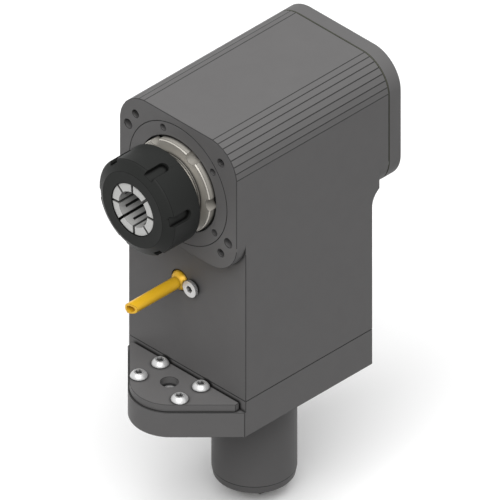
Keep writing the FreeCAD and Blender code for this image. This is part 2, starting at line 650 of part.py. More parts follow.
def body_profile():
    """Side outline of the body: straight front, and a rear wall that flares out to the head."""
    x = -HALF_WIDTH
    overhang = HEAD_CORE_REAR - BODY_REAR
    rise = math.sqrt(FLARE_R ** 2 - (FLARE_R - overhang) ** 2)
    flare_top = SPINDLE_HEIGHT - HEAD_HEIGHT / 2 + FLARE_RISE
    flare_low = flare_top - rise
    half = math.acos((FLARE_R - overhang) / FLARE_R) / 2
    middle = V(x, BODY_REAR + FLARE_R * (1 - math.cos(half)), flare_low + FLARE_R * math.sin(half))
    low = V(x, BODY_REAR, flare_low)
    high = V(x, HEAD_CORE_REAR, flare_top)
    corners = [high, V(x, HEAD_CORE_REAR, SPINDLE_HEIGHT), V(x, BODY_FRONT, SPINDLE_HEIGHT),
               V(x, BODY_FRONT, FLANGE_THICKNESS), V(x, BODY_REAR, FLANGE_THICKNESS), low]
    edges = [Part.makeLine(corners[k], corners[k + 1]) for k in range(len(corners) - 1)]
    edges.append(Part.Arc(low, middle, high).toShape())
    return Part.Wire(edges)


def spindle_bore():
    """The stepped bore along the spindle: cover ring, bearings, gear cavity and rear bearing."""
    front = HEAD_FRONT - 1
    rear = HEAD_REAR + 1
    nose_r = NOSE_BEARING_OUTER_R + FIT_GAP
    rear_r = SHAFT_BEARING_OUTER_R + FIT_GAP
    return turned_y([
        (0, front), (COVER_R + FIT_GAP, front), (COVER_R + FIT_GAP, COVER_REAR), (nose_r, COVER_REAR),
        (nose_r, NOSE_PAIR_REAR), (GEAR_CAVITY_R, NOSE_PAIR_REAR), (GEAR_CAVITY_R, GEAR_CAVITY_REAR),
        (SLEEVE_CAVITY_R, GEAR_CAVITY_REAR), (SLEEVE_CAVITY_R, REAR_BEARING_Y), (rear_r, REAR_BEARING_Y),
        (rear_r, rear), (0, rear)])


def drive_bore():
    """The bore for the upper bearings of the drive shaft, with two circlip grooves."""
    seat_r = SHAFT_BEARING_OUTER_R + FIT_GAP
    groove_r = seat_r + CIRCLIP_GROOVE
    low = UPPER_PAIR_BOTTOM - CIRCLIP_THICKNESS
    high = UPPER_PAIR_TOP + CIRCLIP_THICKNESS
    return turned_z([
        (0, FLANGE_THICKNESS - 1), (seat_r, FLANGE_THICKNESS - 1), (seat_r, low), (groove_r, low),
        (groove_r, UPPER_PAIR_BOTTOM), (seat_r, UPPER_PAIR_BOTTOM), (seat_r, UPPER_PAIR_TOP),
        (groove_r, UPPER_PAIR_TOP), (groove_r, high), (0, high)])


def gear_well():
    """The round well that the drive gear turns in, above its bearings."""
    return rod(GEAR_WELL_R, V(0, 0, UPPER_PAIR_TOP), V(0, 0, DRIVE_WELL_TOP))


def face_hole_places():
    """The four tapped holes, in the same places in the front and the rear face."""
    return [(sx * FACE_HOLE_X, SPINDLE_HEIGHT + sz * FACE_HOLE_Z) for sx in (-1, 1) for sz in (-1, 1)]


def coolant_bores():
    """The rising coolant passage and the bore that holds the nozzle's ball."""
    rise_low = V(NOZZLE_X, PASSAGE_Y, FLANGE_THICKNESS - 1)
    rise = rod(PASSAGE_R, rise_low, V(NOZZLE_X, PASSAGE_Y, NOZZLE_Z))
    seat_end = V(NOZZLE_X, NOZZLE_SEAT_REAR + FIT_GAP, NOZZLE_Z)
    seat = rod(NOZZLE_BALL_R + FREE_GAP / 3, V(NOZZLE_X, BODY_FRONT - 1, NOZZLE_Z), seat_end)
    link_start = V(NOZZLE_X, NOZZLE_SEAT_REAR - 1, NOZZLE_Z)
    link = rod(NOZZLE_TUBE_BORE_R, link_start, V(NOZZLE_X, PASSAGE_Y + PASSAGE_R, NOZZLE_Z))
    return [rise, seat, link]


def housing():
    """The body and head casting with every bore in it."""
    head = Part.Face(head_outline(True, HEAD_FRONT)).extrude(V(0, HEAD_REAR - HEAD_FRONT, 0))
    body = Part.Face(body_profile()).extrude(V(HEAD_WIDTH, 0, 0))
    solid = head.fuse(body).removeSplitter()
    cuts = [spindle_bore(), drive_bore(), gear_well()] + coolant_bores()
    for x, z in face_hole_places():
        cuts.append(rod(FACE_HOLE_R, V(x, HEAD_FRONT - 1, z), V(x, HEAD_FRONT + FACE_HOLE_DEPTH, z)))
        rear_end = REAR_COVER_FRONT + REAR_COVER_THICKNESS - M6_HEAD_H - REAR_SCREW_LENGTH - 2
        cuts.append(rod(M6_R + FIT_GAP, V(x, rear_end, z), V(x, HEAD_REAR + 1, z)))
    for side in (-1, 1):
        place = V(side * PIN_HOLE_X, HEAD_FRONT - 1, SPINDLE_HEIGHT - side * PIN_HOLE_Z)
        cuts.append(rod(PIN_HOLE_R, place, place + V(0, PIN_HOLE_DEPTH + 1, 0)))
    for x, y in flange_screw_places():
        top = FLANGE_THICKNESS + FLANGE_SCREW_GRIP + 2
        cuts.append(rod(M8_R + FIT_GAP, V(x, y, FLANGE_THICKNESS - 1), V(x, y, top)))
    for x, y in DOWEL_PLACES:
        top = FLANGE_THICKNESS + DOWEL_LENGTH / 2 + 1
        cuts.append(rod(DOWEL_R + FIT_GAP, V(x, y, FLANGE_THICKNESS - 1), V(x, y, top)))
    clamp_start = V(CLAMP_SCREW_X, BODY_FRONT - 1, CLAMP_SCREW_Z)
    cuts.append(rod(M6_R + FIT_GAP, clamp_start, V(CLAMP_SCREW_X, CLAMP_SCREW_END + 1, CLAMP_SCREW_Z)))
    return solid.cut(cuts)


def rear_gasket():
    """The paper gasket behind the rear cover."""
    sheet = Part.Face(head_outline(False, HEAD_REAR)).extrude(V(0, GASKET, 0))
    cuts = [rod(SHAFT_BEARING_OUTER_R + 1, V(0, HEAD_REAR - 1, SPINDLE_HEIGHT),
                V(0, REAR_COVER_FRONT + 1, SPINDLE_HEIGHT))]
    for x, z in face_hole_places():
        cuts.append(rod(M6_R + FREE_GAP, V(x, HEAD_REAR - 1, z), V(x, REAR_COVER_FRONT + 1, z)))
    return sheet.cut(cuts)


def rear_cover():
    """The rear cover, with a spigot that holds the rear bearing and pockets for its screws."""
    depth = REAR_COVER_THICKNESS - GASKET
    slab = Part.Face(head_outline(False, REAR_COVER_FRONT)).extrude(V(0, depth, 0))
    spigot = ring_y(REAR_POCKET_R, SHAFT_BEARING_OUTER_R - FIT_GAP, REAR_BEARING_END + FIT_GAP,
                    REAR_COVER_FRONT + 1)
    cover = slab.fuse(spigot).removeSplitter()
    pocket_start = V(0, REAR_COVER_FRONT - 1, SPINDLE_HEIGHT)
    cuts = [rod(REAR_POCKET_R, pocket_start, V(0, REAR_POCKET_END, SPINDLE_HEIGHT))]
    outside = REAR_COVER_FRONT + depth
    for x, z in face_hole_places():
        cuts.append(rod(M6_R + FREE_GAP, V(x, REAR_COVER_FRONT - 1, z), V(x, outside, z)))
        cuts.append(rod(M6_HEAD_R + FREE_GAP, V(x, outside - M6_HEAD_H, z), V(x, outside + 1, z)))
    return cover.cut(cuts)


def rear_cover_screws():
    """Four socket head screws, sunk in the rear cover."""
    seat = REAR_COVER_FRONT + REAR_COVER_THICKNESS - GASKET - M6_HEAD_H
    screw = cap_screw(M6_R, M6_HEAD_R, M6_HEAD_H - FREE_GAP, M6_SOCKET, REAR_SCREW_LENGTH)
    return [placed(screw, V(x, seat, z), Y_AXIS) for x, z in face_hole_places()]


def front_cover_ring():
    """The ring screwed into the head in front of the nose bearings, with its spanner holes."""
    lip_front = COVER_REAR - COVER_LIP
    groove_rear = COVER_REAR - COVER_RING_GROOVE
    groove_front = groove_rear - COVER_RING_GROOVE
    groove_r = COVER_R - 2 * COVER_RING_R
    ring_face_r = (NOSE_BEARING_OUTER_R + COVER_BORE_R) / 2 - COVER_RELIEF
    relief_y = COVER_REAR - COVER_RELIEF
    ring = turned_y([
        (COVER_BORE_R, HEAD_FRONT), (COVER_R, HEAD_FRONT), (COVER_R, groove_front), (groove_r, groove_front),
        (groove_r, groove_rear), (COVER_R, groove_rear), (COVER_R, COVER_REAR), (ring_face_r, COVER_REAR),
        (ring_face_r, relief_y), (COVER_LIP_R, relief_y), (COVER_LIP_R, lip_front),
        (COVER_BORE_R, lip_front)])
    cuts = []
    for k in range(SPANNER_HOLES):
        angle = SPANNER_HOLE_START + 360 * k / SPANNER_HOLES
        start = at_clock(angle, SPANNER_HOLE_PITCH_R, HEAD_FRONT - 1)
        cuts.append(rod(SPANNER_HOLE_R, start, start + V(0, SPANNER_HOLE_DEPTH + 1, 0)))
    return ring.cut(cuts)


def front_cover_seal_ring():
    """The round seal in the groove of the front cover ring."""
    middle = COVER_REAR - 1.5 * COVER_RING_GROOVE
    section_r = COVER_RING_R - RING_SQUEEZE
    return Part.makeTorus(COVER_R - COVER_RING_R, section_r, V(0, middle, SPINDLE_HEIGHT), Y_AXIS)


def spindle_seal():
    """The lip seal between the cover ring and the spindle."""
    rear = COVER_REAR - COVER_LIP - FIT_GAP
    front = rear - SEAL_LENGTH
    outer_r = COVER_BORE_R - FIT_GAP
    lip_r = SPINDLE_NOSE_R + RUN_GAP
    body_r = lip_r + SEAL_LIP_HEIGHT
    lip_rear = front + SEAL_LIP
    return turned_y([
        (body_r, rear), (outer_r, rear), (outer_r, front), (lip_r, front), (lip_r, lip_rear),
        (body_r, lip_rear + SEAL_LIP_SLOPE)])


# Bearings


def races(bore_r, outer_r, width, ball_r):
    """The inner and outer ring of a ball bearing that stands on the origin along +Z."""
    pitch_r = (bore_r + outer_r) / 2
    shoulder = 0.55 * ball_r
    groove = Part.makeTorus(pitch_r, ball_r + RACE_GAP, V(0, 0, width / 2), Z_AXIS)
    inner = ring_z(bore_r, pitch_r - shoulder, 0, width).cut(groove)
    outer = ring_z(pitch_r + shoulder, outer_r, 0, width).cut(groove)
    return inner, outer


def ball_set(bore_r, outer_r, width, ball_r, count):
    """The balls of a bearing that stands on the origin along +Z."""
    pitch_r = (bore_r + outer_r) / 2
    ball = Part.makeSphere(ball_r, V(pitch_r, 0, width / 2))
    return around(ball, count, 0, V(0, 0, 0), Z_AXIS)


def ball_cage(bore_r, outer_r, width, ball_r, count):
    """The cage of a bearing that stands on the origin along +Z."""
    pitch_r = (bore_r + outer_r) / 2
    half = ball_r + BALL_POCKET_GAP + CAGE_EDGE
    band = ring_z(pitch_r - CAGE_WALL / 2, pitch_r + CAGE_WALL / 2, width / 2 - half, width / 2 + half)
    pocket_r = ball_r + BALL_POCKET_GAP
    pocket = rod(pocket_r, V(pitch_r - ball_r, 0, width / 2), V(pitch_r + ball_r, 0, width / 2))
    return band.cut(around(pocket, count, 0, V(0, 0, 0), Z_AXIS))


def bearing_nodes(name, sizes, count, places, direction):
    """Writes the rings, balls and cages of a bearing or a pair, one node for each kind."""
    inner, outer = races(*sizes)
    balls = Part.makeCompound(ball_set(*sizes, count))
    cage = ball_cage(*sizes, count)
    kinds = (("inner_ring", inner), ("outer_ring", outer), ("balls", balls), ("cage", cage))
    for kind, shape in kinds:
        plural = "s" if len(places) > 1 and kind != "balls" else ""
        export(name + "_bearing_" + kind + plural, [placed(shape, place, direction) for place in places])


def all_bearings():
    """Writes the four bearing places of the holder."""
    nose = (NOSE_BEARING_BORE_R, NOSE_BEARING_OUTER_R, NOSE_BEARING_WIDTH, NOSE_BALL_R)
    shaft = (SHAFT_BEARING_BORE_R, SHAFT_BEARING_OUTER_R, SHAFT_BEARING_WIDTH, SHAFT_BALL_R)
    foot = (FOOT_BEARING_BORE_R, FOOT_BEARING_OUTER_R, FOOT_BEARING_WIDTH, FOOT_BALL_R)
    nose_ys = (COVER_REAR, COVER_REAR + NOSE_BEARING_WIDTH)
    upper_zs = (UPPER_PAIR_BOTTOM, UPPER_PAIR_BOTTOM + SHAFT_BEARING_WIDTH)
    bearing_nodes("nose", nose, NOSE_BALLS, [V(0, y, SPINDLE_HEIGHT) for y in nose_ys], Y_AXIS)
    bearing_nodes("rear", shaft, SHAFT_BALLS, [V(0, REAR_BEARING_Y, SPINDLE_HEIGHT)], Y_AXIS)
    bearing_nodes("upper", shaft, SHAFT_BALLS, [V(0, 0, z) for z in upper_zs], Z_AXIS)
    bearing_nodes("foot", foot, FOOT_BALLS, [V(0, 0, FOOT_BEARING_Z)], Z_AXIS)


def circlip(seat_r, bottom):
    """An inside circlip in its groove, open at the rear."""
    outer_r = seat_r + CIRCLIP_GROOVE - FREE_GAP
    inner_r = seat_r - CIRCLIP_HEIGHT + CIRCLIP_GROOVE
    top = bottom + CIRCLIP_THICKNESS - FIT_GAP
    half = CIRCLIP_OPENING / 2
    gap = block(V(-half, 0, bottom - 1), V(half, outer_r + 1, top + 1))
    return ring_z(inner_r, outer_r, bottom + FIT_GAP, top).cut(gap)


def bearing_circlips():
    """The circlips above and below the upper bearings."""
    return [circlip(SHAFT_BEARING_OUTER_R, UPPER_PAIR_BOTTOM - CIRCLIP_THICKNESS),
            circlip(SHAFT_BEARING_OUTER_R, UPPER_PAIR_TOP)]


def foot_circlip():
    """The circlip under the bearing at the end of the shank."""
    return circlip(FOOT_BEARING_OUTER_R, FOOT_BEARING_Z - CIRCLIP_THICKNESS)


def drive_shaft_seal():
    """The lip seal at the end of the shank."""
    low = -SHANK_LENGTH + FOOT_SEAL_RECESS
    lip_r = FOOT_BEARING_BORE_R + RUN_GAP
    lip_top = low + SEAL_LIP
    body_r = lip_r + FOOT_SEAL_LIP_HEIGHT
    top = low + FOOT_SEAL_LENGTH
    outer_r = FOOT_BEARING_OUTER_R - FIT_GAP
    return turned_z([
        (lip_r, low), (outer_r, low), (outer_r, top), (body_r, top), (body_r, lip_top + SEAL_LIP_SLOPE),
        (lip_r, lip_top)])


# Bevel gears


def tooth_gap(distance):
    """Cross section of one tooth gap, on the flat square to the pitch line at a distance."""
    virtual_r = GEAR_R * math.sqrt(2)
    virtual_teeth = GEAR_TEETH * math.sqrt(2)
    pressure = math.radians(PRESSURE_ANGLE)
    base_r = virtual_r * math.cos(pressure)
    pitch_line = V(math.sqrt(0.5), 0, -math.sqrt(0.5))
    flank = []
    for rise in (-1.25, -0.5, 0.0, 0.6, 1.3):
        radius = virtual_r + rise * GEAR_MODULE
        slant = math.acos(min(1.0, base_r / radius))
        lean = math.tan(slant) - slant - (math.tan(pressure) - pressure)
        half = math.pi / (2 * virtual_teeth) + lean + GEAR_BACKLASH / virtual_r
        flank.append((math.pi / 4 + math.atan2(rise * GEAR_MODULE, virtual_r), half * math.sqrt(2)))
    points = []
    for cone, turn in flank + [(cone, -turn) for cone, turn in reversed(flank)]:
        ray = V(math.sin(cone) * math.cos(turn), math.sin(cone) * math.sin(turn), -math.cos(cone))
        points.append(ray * (distance / ray.dot(pitch_line)))
    return Part.makePolygon(points + points[:1])


def bevel_gear(bore_r, hub_r, hub_back, first_gap):
    """A bevel gear whose axes meet at the origin, with its back towards -Z."""
    slant = math.sqrt(0.5)
    tip_r = GEAR_R + GEAR_MODULE * slant
    tip_z = -GEAR_R + GEAR_MODULE * slant
    front_step = (GEAR_FLAT + tip_z * SMALL_END)
    rim_drop = 2.5 * slant * GEAR_MODULE + GEAR_RIM
    rim_z = tip_z - rim_drop
    small_r = tip_r * SMALL_END
    blank = turned_z([
        (bore_r, -GEAR_FLAT), (small_r - front_step, -GEAR_FLAT), (small_r, tip_z * SMALL_END),
        (tip_r, tip_z), (tip_r - rim_drop, rim_z), (hub_r, rim_z), (hub_r, -hub_back), (bore_r, -hub_back)])
    outer = tooth_gap(CONE_DISTANCE * GEAR_CUT_RUNOUT)
    inner = tooth_gap(CONE_DISTANCE * SMALL_END / GEAR_CUT_RUNOUT ** 2)
    gap = Part.makeLoft([outer, inner], True, True)
    return blank.cut(around(gap, GEAR_TEETH, first_gap, V(0, 0, 0), Z_AXIS))


def key_bar(length, width, height):
    """A key with round ends that lies along +Z from the origin and stands up along +X."""
    half = width / 2
    middle = block(V(0, -half, half), V(height, half, length - half))
    ends = [rod(half, V(0, 0, z), V(height, 0, z)) for z in (half, length - half)]
    return middle.fuse(ends).removeSplitter()


def nose_gear_key_place(shape):
    """Moves a key or its slot to the spindle gear, above the spindle axis."""
    moved = shape.copy()
    start = V(0, NOSE_GEAR_Y + SPINDLE_KEY_STEP, SPINDLE_HEIGHT + SHAFT_BEARING_BORE_R - KEY_DEPTH)
    turn = FreeCAD.Rotation(Z_AXIS, X_AXIS, Y_AXIS, "ZXY")
    moved.Placement = FreeCAD.Placement(start, turn)
    return moved


def drive_gear_key_place(shape):
    """Moves a key or its slot to the drive gear, beside the shaft axis."""
    moved = shape.copy()
    moved.translate(V(DRIVE_GEAR_BORE_R - KEY_DEPTH, 0, UPPER_PAIR_TOP + DRIVE_KEY_STEP))
    return moved


def key_slot():
    """The slot for a key, with a little room all round."""
    slot = key_bar(KEY_LENGTH + 2 * FIT_GAP, KEY_WIDTH + 2 * FIT_GAP, KEY_HEIGHT + FREE_GAP)
    slot.translate(V(-FIT_GAP, 0, -FIT_GAP))
    return slot


def spindle_bevel_gear():
    """The driven gear on the spindle."""
    gear = bevel_gear(SHAFT_BEARING_BORE_R + FIT_GAP, NOSE_GEAR_HUB_R, NOSE_GEAR_BACK, 180 / GEAR_TEETH)
    gear.rotate(V(0, 0, 0), X_AXIS, -90)
    gear.translate(SPINDLE_POINT)
    return gear.cut(nose_gear_key_place(key_slot()))


def drive_bevel_gear():
    """The driving gear on top of the drive shaft."""
    gear = bevel_gear(DRIVE_GEAR_BORE_R + FIT_GAP, DRIVE_GEAR_HUB_R, DRIVE_GEAR_BACK - FIT_GAP, 0)
    gear.translate(SPINDLE_POINT)
    return gear.cut(drive_gear_key_place(key_slot()))


# Spindle and what turns with it


def spindle():
    """The spindle: taper for the collet, nose thread, bearing seats and slim rear end."""
    taper_end = SPINDLE_FRONT + TAPER_LENGTH
    taper_end_r = TAPER_MOUTH_R - TAPER_LENGTH * math.tan(math.radians(TAPER_ANGLE))
    collar_r = NECK_R + NECK_COLLAR
    collar_y = SLOTTED_FRONT - NECK_COLLAR_LENGTH
    seat_r = NOSE_BEARING_BORE_R - FIT_GAP
    step = NOSE_PAIR_REAR - FREE_GAP
    rear_r = SHAFT_BEARING_BORE_R - FIT_GAP
    solid = turned_y([
        (TAPER_MOUTH_R, SPINDLE_FRONT), (SPINDLE_NOSE_R - SPINDLE_EDGE, SPINDLE_FRONT),
        (SPINDLE_NOSE_R, SPINDLE_FRONT + SPINDLE_EDGE), (SPINDLE_NOSE_R, NECK_FRONT), (NECK_R, NECK_FRONT),
        (NECK_R, collar_y), (collar_r, collar_y), (collar_r, NECK_REAR), (SPINDLE_NOSE_R, NECK_REAR),
        (SPINDLE_NOSE_R, COVER_REAR), (seat_r, COVER_REAR), (seat_r, step), (rear_r, step),
        (rear_r, SPINDLE_REAR - SPINDLE_EDGE), (rear_r - SPINDLE_EDGE, SPINDLE_REAR), (0, SPINDLE_REAR),
        (0, SOCKET_REAR), (taper_end_r + FREE_GAP, SOCKET_REAR), (taper_end_r + FREE_GAP, taper_end),
        (taper_end_r, taper_end)])
    return solid.cut(nose_gear_key_place(key_slot()))


def slotted_ring():
    """The slotted ring on the spindle in front of the cover ring."""
    inner_r = SPINDLE_NOSE_R + FIT_GAP
    lip_r = NECK_R + NECK_COLLAR + FIT_GAP
    lip_rear = SLOTTED_FRONT + SLOTTED_LIP
    chamfer = SLOTTED_CHAMFER
    ring = turned_y([
        (lip_r, SLOTTED_FRONT), (SLOTTED_R - chamfer, SLOTTED_FRONT), (SLOTTED_R, SLOTTED_FRONT + chamfer),
        (SLOTTED_R, SLOTTED_REAR), (inner_r, SLOTTED_REAR), (inner_r, lip_rear), (lip_r, lip_rear)])
    cuts = []
    for k in range(SLOTTED_NOTCHES):
        angle = SLOTTED_START + 360 * k / SLOTTED_NOTCHES
        floor = at_clock(angle, SLOTTED_NOTCH_FLOOR + SLOTTED_NOTCH_R, SLOTTED_FRONT - 1)
        cuts.append(rod(SLOTTED_NOTCH_R, floor, floor + V(0, SLOTTED_REAR - SLOTTED_FRONT + 2, 0)))
    return ring.cut(cuts)


def spindle_sleeve():
    """The spacer between the spindle gear and the rear bearing."""
    return ring_y(SHAFT_BEARING_BORE_R + FIT_GAP, SLEEVE_R, SLEEVE_FRONT + FIT_GAP, REAR_BEARING_Y - FIT_GAP)


def spindle_lock_nut():
    """The slotted nut that clamps everything on the spindle from the rear."""
    start = REAR_BEARING_END + FIT_GAP
    nut = ring_y(SHAFT_BEARING_BORE_R + FIT_GAP, LOCK_NUT_R, start, start + LOCK_NUT_LENGTH)
    half = LOCK_NUT_SLOT_WIDTH / 2
    floor = SPINDLE_HEIGHT + LOCK_NUT_R - LOCK_NUT_SLOT_DEPTH
    outside = SPINDLE_HEIGHT + LOCK_NUT_R + 1
    slot = block(V(-half, start - 1, floor), V(half, start + LOCK_NUT_LENGTH + 1, outside))
    return nut.cut(around(slot, LOCK_NUT_SLOTS, 45, SPINDLE_POINT, Y_AXIS))


def taper_collet_r(y):
    """Radius of the collet's long taper at a place along the spindle."""
    return TAPER_MOUTH_R - COLLET_SEAT_GAP - (y - SPINDLE_FRONT) * math.tan(math.radians(TAPER_ANGLE))


def collet():
    """The spring collet, slotted in turn from the front and from the rear."""
    cone_start = COLLET_FRONT + COLLET_RIM
    cone_end = cone_start + COLLET_CONE_LENGTH
    cone_r = COLLET_FACE_R + COLLET_CONE_LENGTH * math.tan(math.radians(COLLET_CONE_ANGLE))
    groove_end = cone_end + COLLET_GROOVE
    solid = turned_y([
        (COLLET_BORE_R, COLLET_FRONT), (COLLET_FACE_R, COLLET_FRONT), (COLLET_FACE_R, cone_start),
        (cone_r, cone_end), (COLLET_GROOVE_R, cone_end), (COLLET_GROOVE_R, groove_end),
        (taper_collet_r(groove_end), groove_end), (taper_collet_r(COLLET_REAR), COLLET_REAR),
        (COLLET_BORE_R, COLLET_REAR)])
    half = COLLET_SLOT_WIDTH / 2
    reach = SPINDLE_HEIGHT + COLLET_MAX_R + 2
    front_slot = block(V(-half, COLLET_FRONT - 1, SPINDLE_HEIGHT + COLLET_BORE_R / 2),
                       V(half, COLLET_FRONT + COLLET_FRONT_SLOT, reach))
    rear_slot = block(V(-half, COLLET_REAR - COLLET_REAR_SLOT, SPINDLE_HEIGHT + COLLET_BORE_R / 2),
                      V(half, COLLET_REAR + 1, reach))
    cuts = around(front_slot, COLLET_SLOTS, COLLET_SLOT_START, SPINDLE_POINT, Y_AXIS)
    shift = COLLET_SLOT_START + 180 / COLLET_SLOTS
    cuts += around(rear_slot, COLLET_SLOTS, shift, SPINDLE_POINT, Y_AXIS)
    return solid.cut(cuts)


def nut_draw_ring():
    """The ring in the nut that presses on the collet's cone and hooks in its groove."""
    front = NUT_FRONT + NUT_WALL + RUN_GAP
    slope = math.tan(math.radians(COLLET_CONE_ANGLE))
    cone_start = COLLET_FRONT + COLLET_RIM
    cone_end = cone_start + COLLET_CONE_LENGTH
    cone_r = COLLET_FACE_R + COLLET_CONE_LENGTH * slope + RUN_GAP
    front_r = cone_r - (cone_end - front) * slope
    lip_end = cone_end + COLLET_GROOVE - 2 * DRAW_RING_LIP_GAP
    lip_front = cone_end + DRAW_RING_LIP_GAP
    outer_r = NUT_POCKET_R - RUN_GAP
    clear_r = COLLET_MAX_R + FREE_GAP
    return turned_y([
        (front_r, front), (outer_r, front), (outer_r, DRAW_RING_REAR), (clear_r, DRAW_RING_REAR),
        (clear_r, lip_end), (DRAW_RING_LIP_R, lip_end), (DRAW_RING_LIP_R, lip_front),
        (cone_r, lip_front), (cone_r, cone_end)])


def clamping_nut():
    """The round clamping nut, with its six spanner slots."""
    wall_end = NUT_FRONT + NUT_WALL
    cone_end = NUT_FRONT + NUT_CONE_LENGTH
    pocket_end = SPINDLE_FRONT - FREE_GAP
    thread_r = SPINDLE_NOSE_R + RUN_GAP
    inner_cone_r = NUT_OPENING_R + (NUT_WALL - NUT_OPENING_LAND) * math.tan(math.radians(COLLET_CONE_ANGLE))
    nut = turned_y([
        (NUT_OPENING_R, NUT_FRONT), (NUT_FACE_R, NUT_FRONT), (NUT_R - NUT_BEVEL, cone_end),
        (NUT_R, cone_end + NUT_BEVEL), (NUT_R, NUT_REAR - NUT_BEVEL), (NUT_R - NUT_BEVEL, NUT_REAR),
        (thread_r, NUT_REAR), (thread_r, pocket_end), (NUT_POCKET_R, pocket_end), (NUT_POCKET_R, wall_end),
        (inner_cone_r, wall_end), (NUT_OPENING_R, NUT_FRONT + NUT_OPENING_LAND)])
    half = NUT_SLOT_WIDTH / 2
    floor = SPINDLE_HEIGHT + NUT_SLOT_FLOOR
    outside = SPINDLE_HEIGHT + NUT_R + 1
    round_y = NUT_FRONT + NUT_SLOT_LENGTH - half
    slot = block(V(-half, NUT_FRONT - 1, floor), V(half, round_y, outside))
    slot = slot.fuse(rod(half, V(0, round_y, floor), V(0, round_y, outside)))
    return nut.cut(around(slot, NUT_SLOTS, NUT_SLOT_START, SPINDLE_POINT, Y_AXIS))


# Drive shaft and what turns with it


def drive_shaft():
    """The drive shaft, from the tang that the turret turns up to the seat of its gear."""
    foot_r = FOOT_BEARING_BORE_R - FIT_GAP
    seat_r = SHAFT_BEARING_BORE_R - FIT_GAP
    collar_low = UPPER_PAIR_BOTTOM - SHAFT_COLLAR
    gear_seat_top = SPINDLE_HEIGHT - GEAR_FLAT - FREE_GAP
    shaft = turned_z([
        (0, TANG_END), (foot_r - SPINDLE_EDGE, TANG_END), (foot_r, TANG_END + SPINDLE_EDGE),
        (foot_r, FOOT_BEARING_TOP), (SHAFT_R, FOOT_BEARING_TOP), (SHAFT_R, collar_low),
        (SHAFT_COLLAR_R, collar_low),
        (SHAFT_COLLAR_R, UPPER_PAIR_BOTTOM), (seat_r, UPPER_PAIR_BOTTOM), (seat_r, UPPER_PAIR_TOP),
        (DRIVE_GEAR_BORE_R, UPPER_PAIR_TOP), (DRIVE_GEAR_BORE_R, gear_seat_top), (0, gear_seat_top)])
    cuts = [drive_gear_key_place(key_slot())]
    screw_low = gear_seat_top - END_SCREW_LENGTH
    cuts.append(rod(M8_R + FIT_GAP, V(0, 0, screw_low), V(0, 0, gear_seat_top + 1)))
    for side in (-1, 1):
        inner = side * TANG_HALF_WIDTH
        outer = side * 2 * FOOT_BEARING_BORE_R
        low = V(-2 * FOOT_BEARING_BORE_R, min(inner, outer), TANG_END - 1)
        cuts.append(block(low, V(2 * FOOT_BEARING_BORE_R, max(inner, outer), TANG_ROOT)))
    return shaft.cut(cuts)


def end_washer():
    """The thick washer that holds the drive gear down, sunk for its screw."""
    low = SPINDLE_HEIGHT - GEAR_FLAT + FIT_GAP
    top = low + END_WASHER_THICKNESS
    sink = END_SCREW_HEAD_R - M8_R
    return turned_z([
        (M8_R + FREE_GAP, low), (END_WASHER_R, low), (END_WASHER_R, top - END_WASHER_EDGE),
        (END_WASHER_R - END_WASHER_EDGE, top), (END_SCREW_HEAD_R + FREE_GAP, top),
        (M8_R + FREE_GAP, top - sink)])


def end_screw():
    """The countersunk screw in the top of the drive shaft."""
    top = SPINDLE_HEIGHT - GEAR_FLAT + FIT_GAP + END_WASHER_THICKNESS
    sink = END_SCREW_HEAD_R - M8_R
    screw = turned_z([
        (0, top - END_SCREW_LENGTH), (M8_R, top - END_SCREW_LENGTH), (M8_R, top - sink),
        (END_SCREW_HEAD_R, top), (0, top)])
    return screw.cut(placed(hexagon(END_SCREW_SOCKET, END_WASHER_THICKNESS), V(0, 0, top), Z_AXIS))


# Coolant nozzle


def nozzle_ball():
    """The ball that the nozzle swivels in, bored for coolant and for the tube."""
    centre = V(NOZZLE_X, BALL_CENTRE_Y, NOZZLE_Z)
    ball = Part.makeSphere(NOZZLE_BALL_R, centre)
    reach = V(0, NOZZLE_BALL_R + 1, 0)
    socket_rear = V(NOZZLE_X, BODY_FRONT, NOZZLE_Z)
    cuts = [rod(NOZZLE_TUBE_BORE_R, centre - reach, centre + reach)]
    cuts.append(rod(NOZZLE_TUBE_R + FIT_GAP, centre - reach, socket_rear))
    return ball.cut(cuts)


def nozzle_seat_ring():
    """The ring behind the ball, hollowed to fit it."""
    front = V(NOZZLE_X, NOZZLE_SEAT_FRONT, NOZZLE_Z)
    rear = V(NOZZLE_X, NOZZLE_SEAT_REAR, NOZZLE_Z)
    ring = rod(NOZZLE_BALL_R + RUN_GAP / 2, front, rear)
    centre = V(NOZZLE_X, BALL_CENTRE_Y, NOZZLE_Z)
    bore = rod(NOZZLE_SEAT_BORE_R, front, rear + Y_AXIS)
    return ring.cut([bore, Part.makeSphere(NOZZLE_BALL_R + RUN_GAP, centre)])


def nozzle_tube():
    """The straight nozzle tube, its tip square on one side and slanted on the other."""
    start = V(NOZZLE_X, BODY_FRONT - FIT_GAP, NOZZLE_Z)
    tip = V(NOZZLE_X, NOZZLE_TIP, NOZZLE_Z)
    bore = rod(NOZZLE_TUBE_BORE_R, start + Y_AXIS, tip - Y_AXIS)
    reach = 3 * NOZZLE_TUBE_R
    low = NOZZLE_Z - reach
    x = NOZZLE_X + NOZZLE_TIP_FLAT
    slant = extruded([V(x, NOZZLE_TIP, low), V(x + reach, NOZZLE_TIP + NOZZLE_TIP_SLOPE * reach, low),
                      V(x + reach, NOZZLE_TIP - 1, low), V(x, NOZZLE_TIP - 1, low)], V(0, 0, 2 * reach))
    slant.rotate(tip, Y_AXIS, NOZZLE_TIP_TURN)
    return rod(NOZZLE_TUBE_R, start, tip).cut([bore, slant])


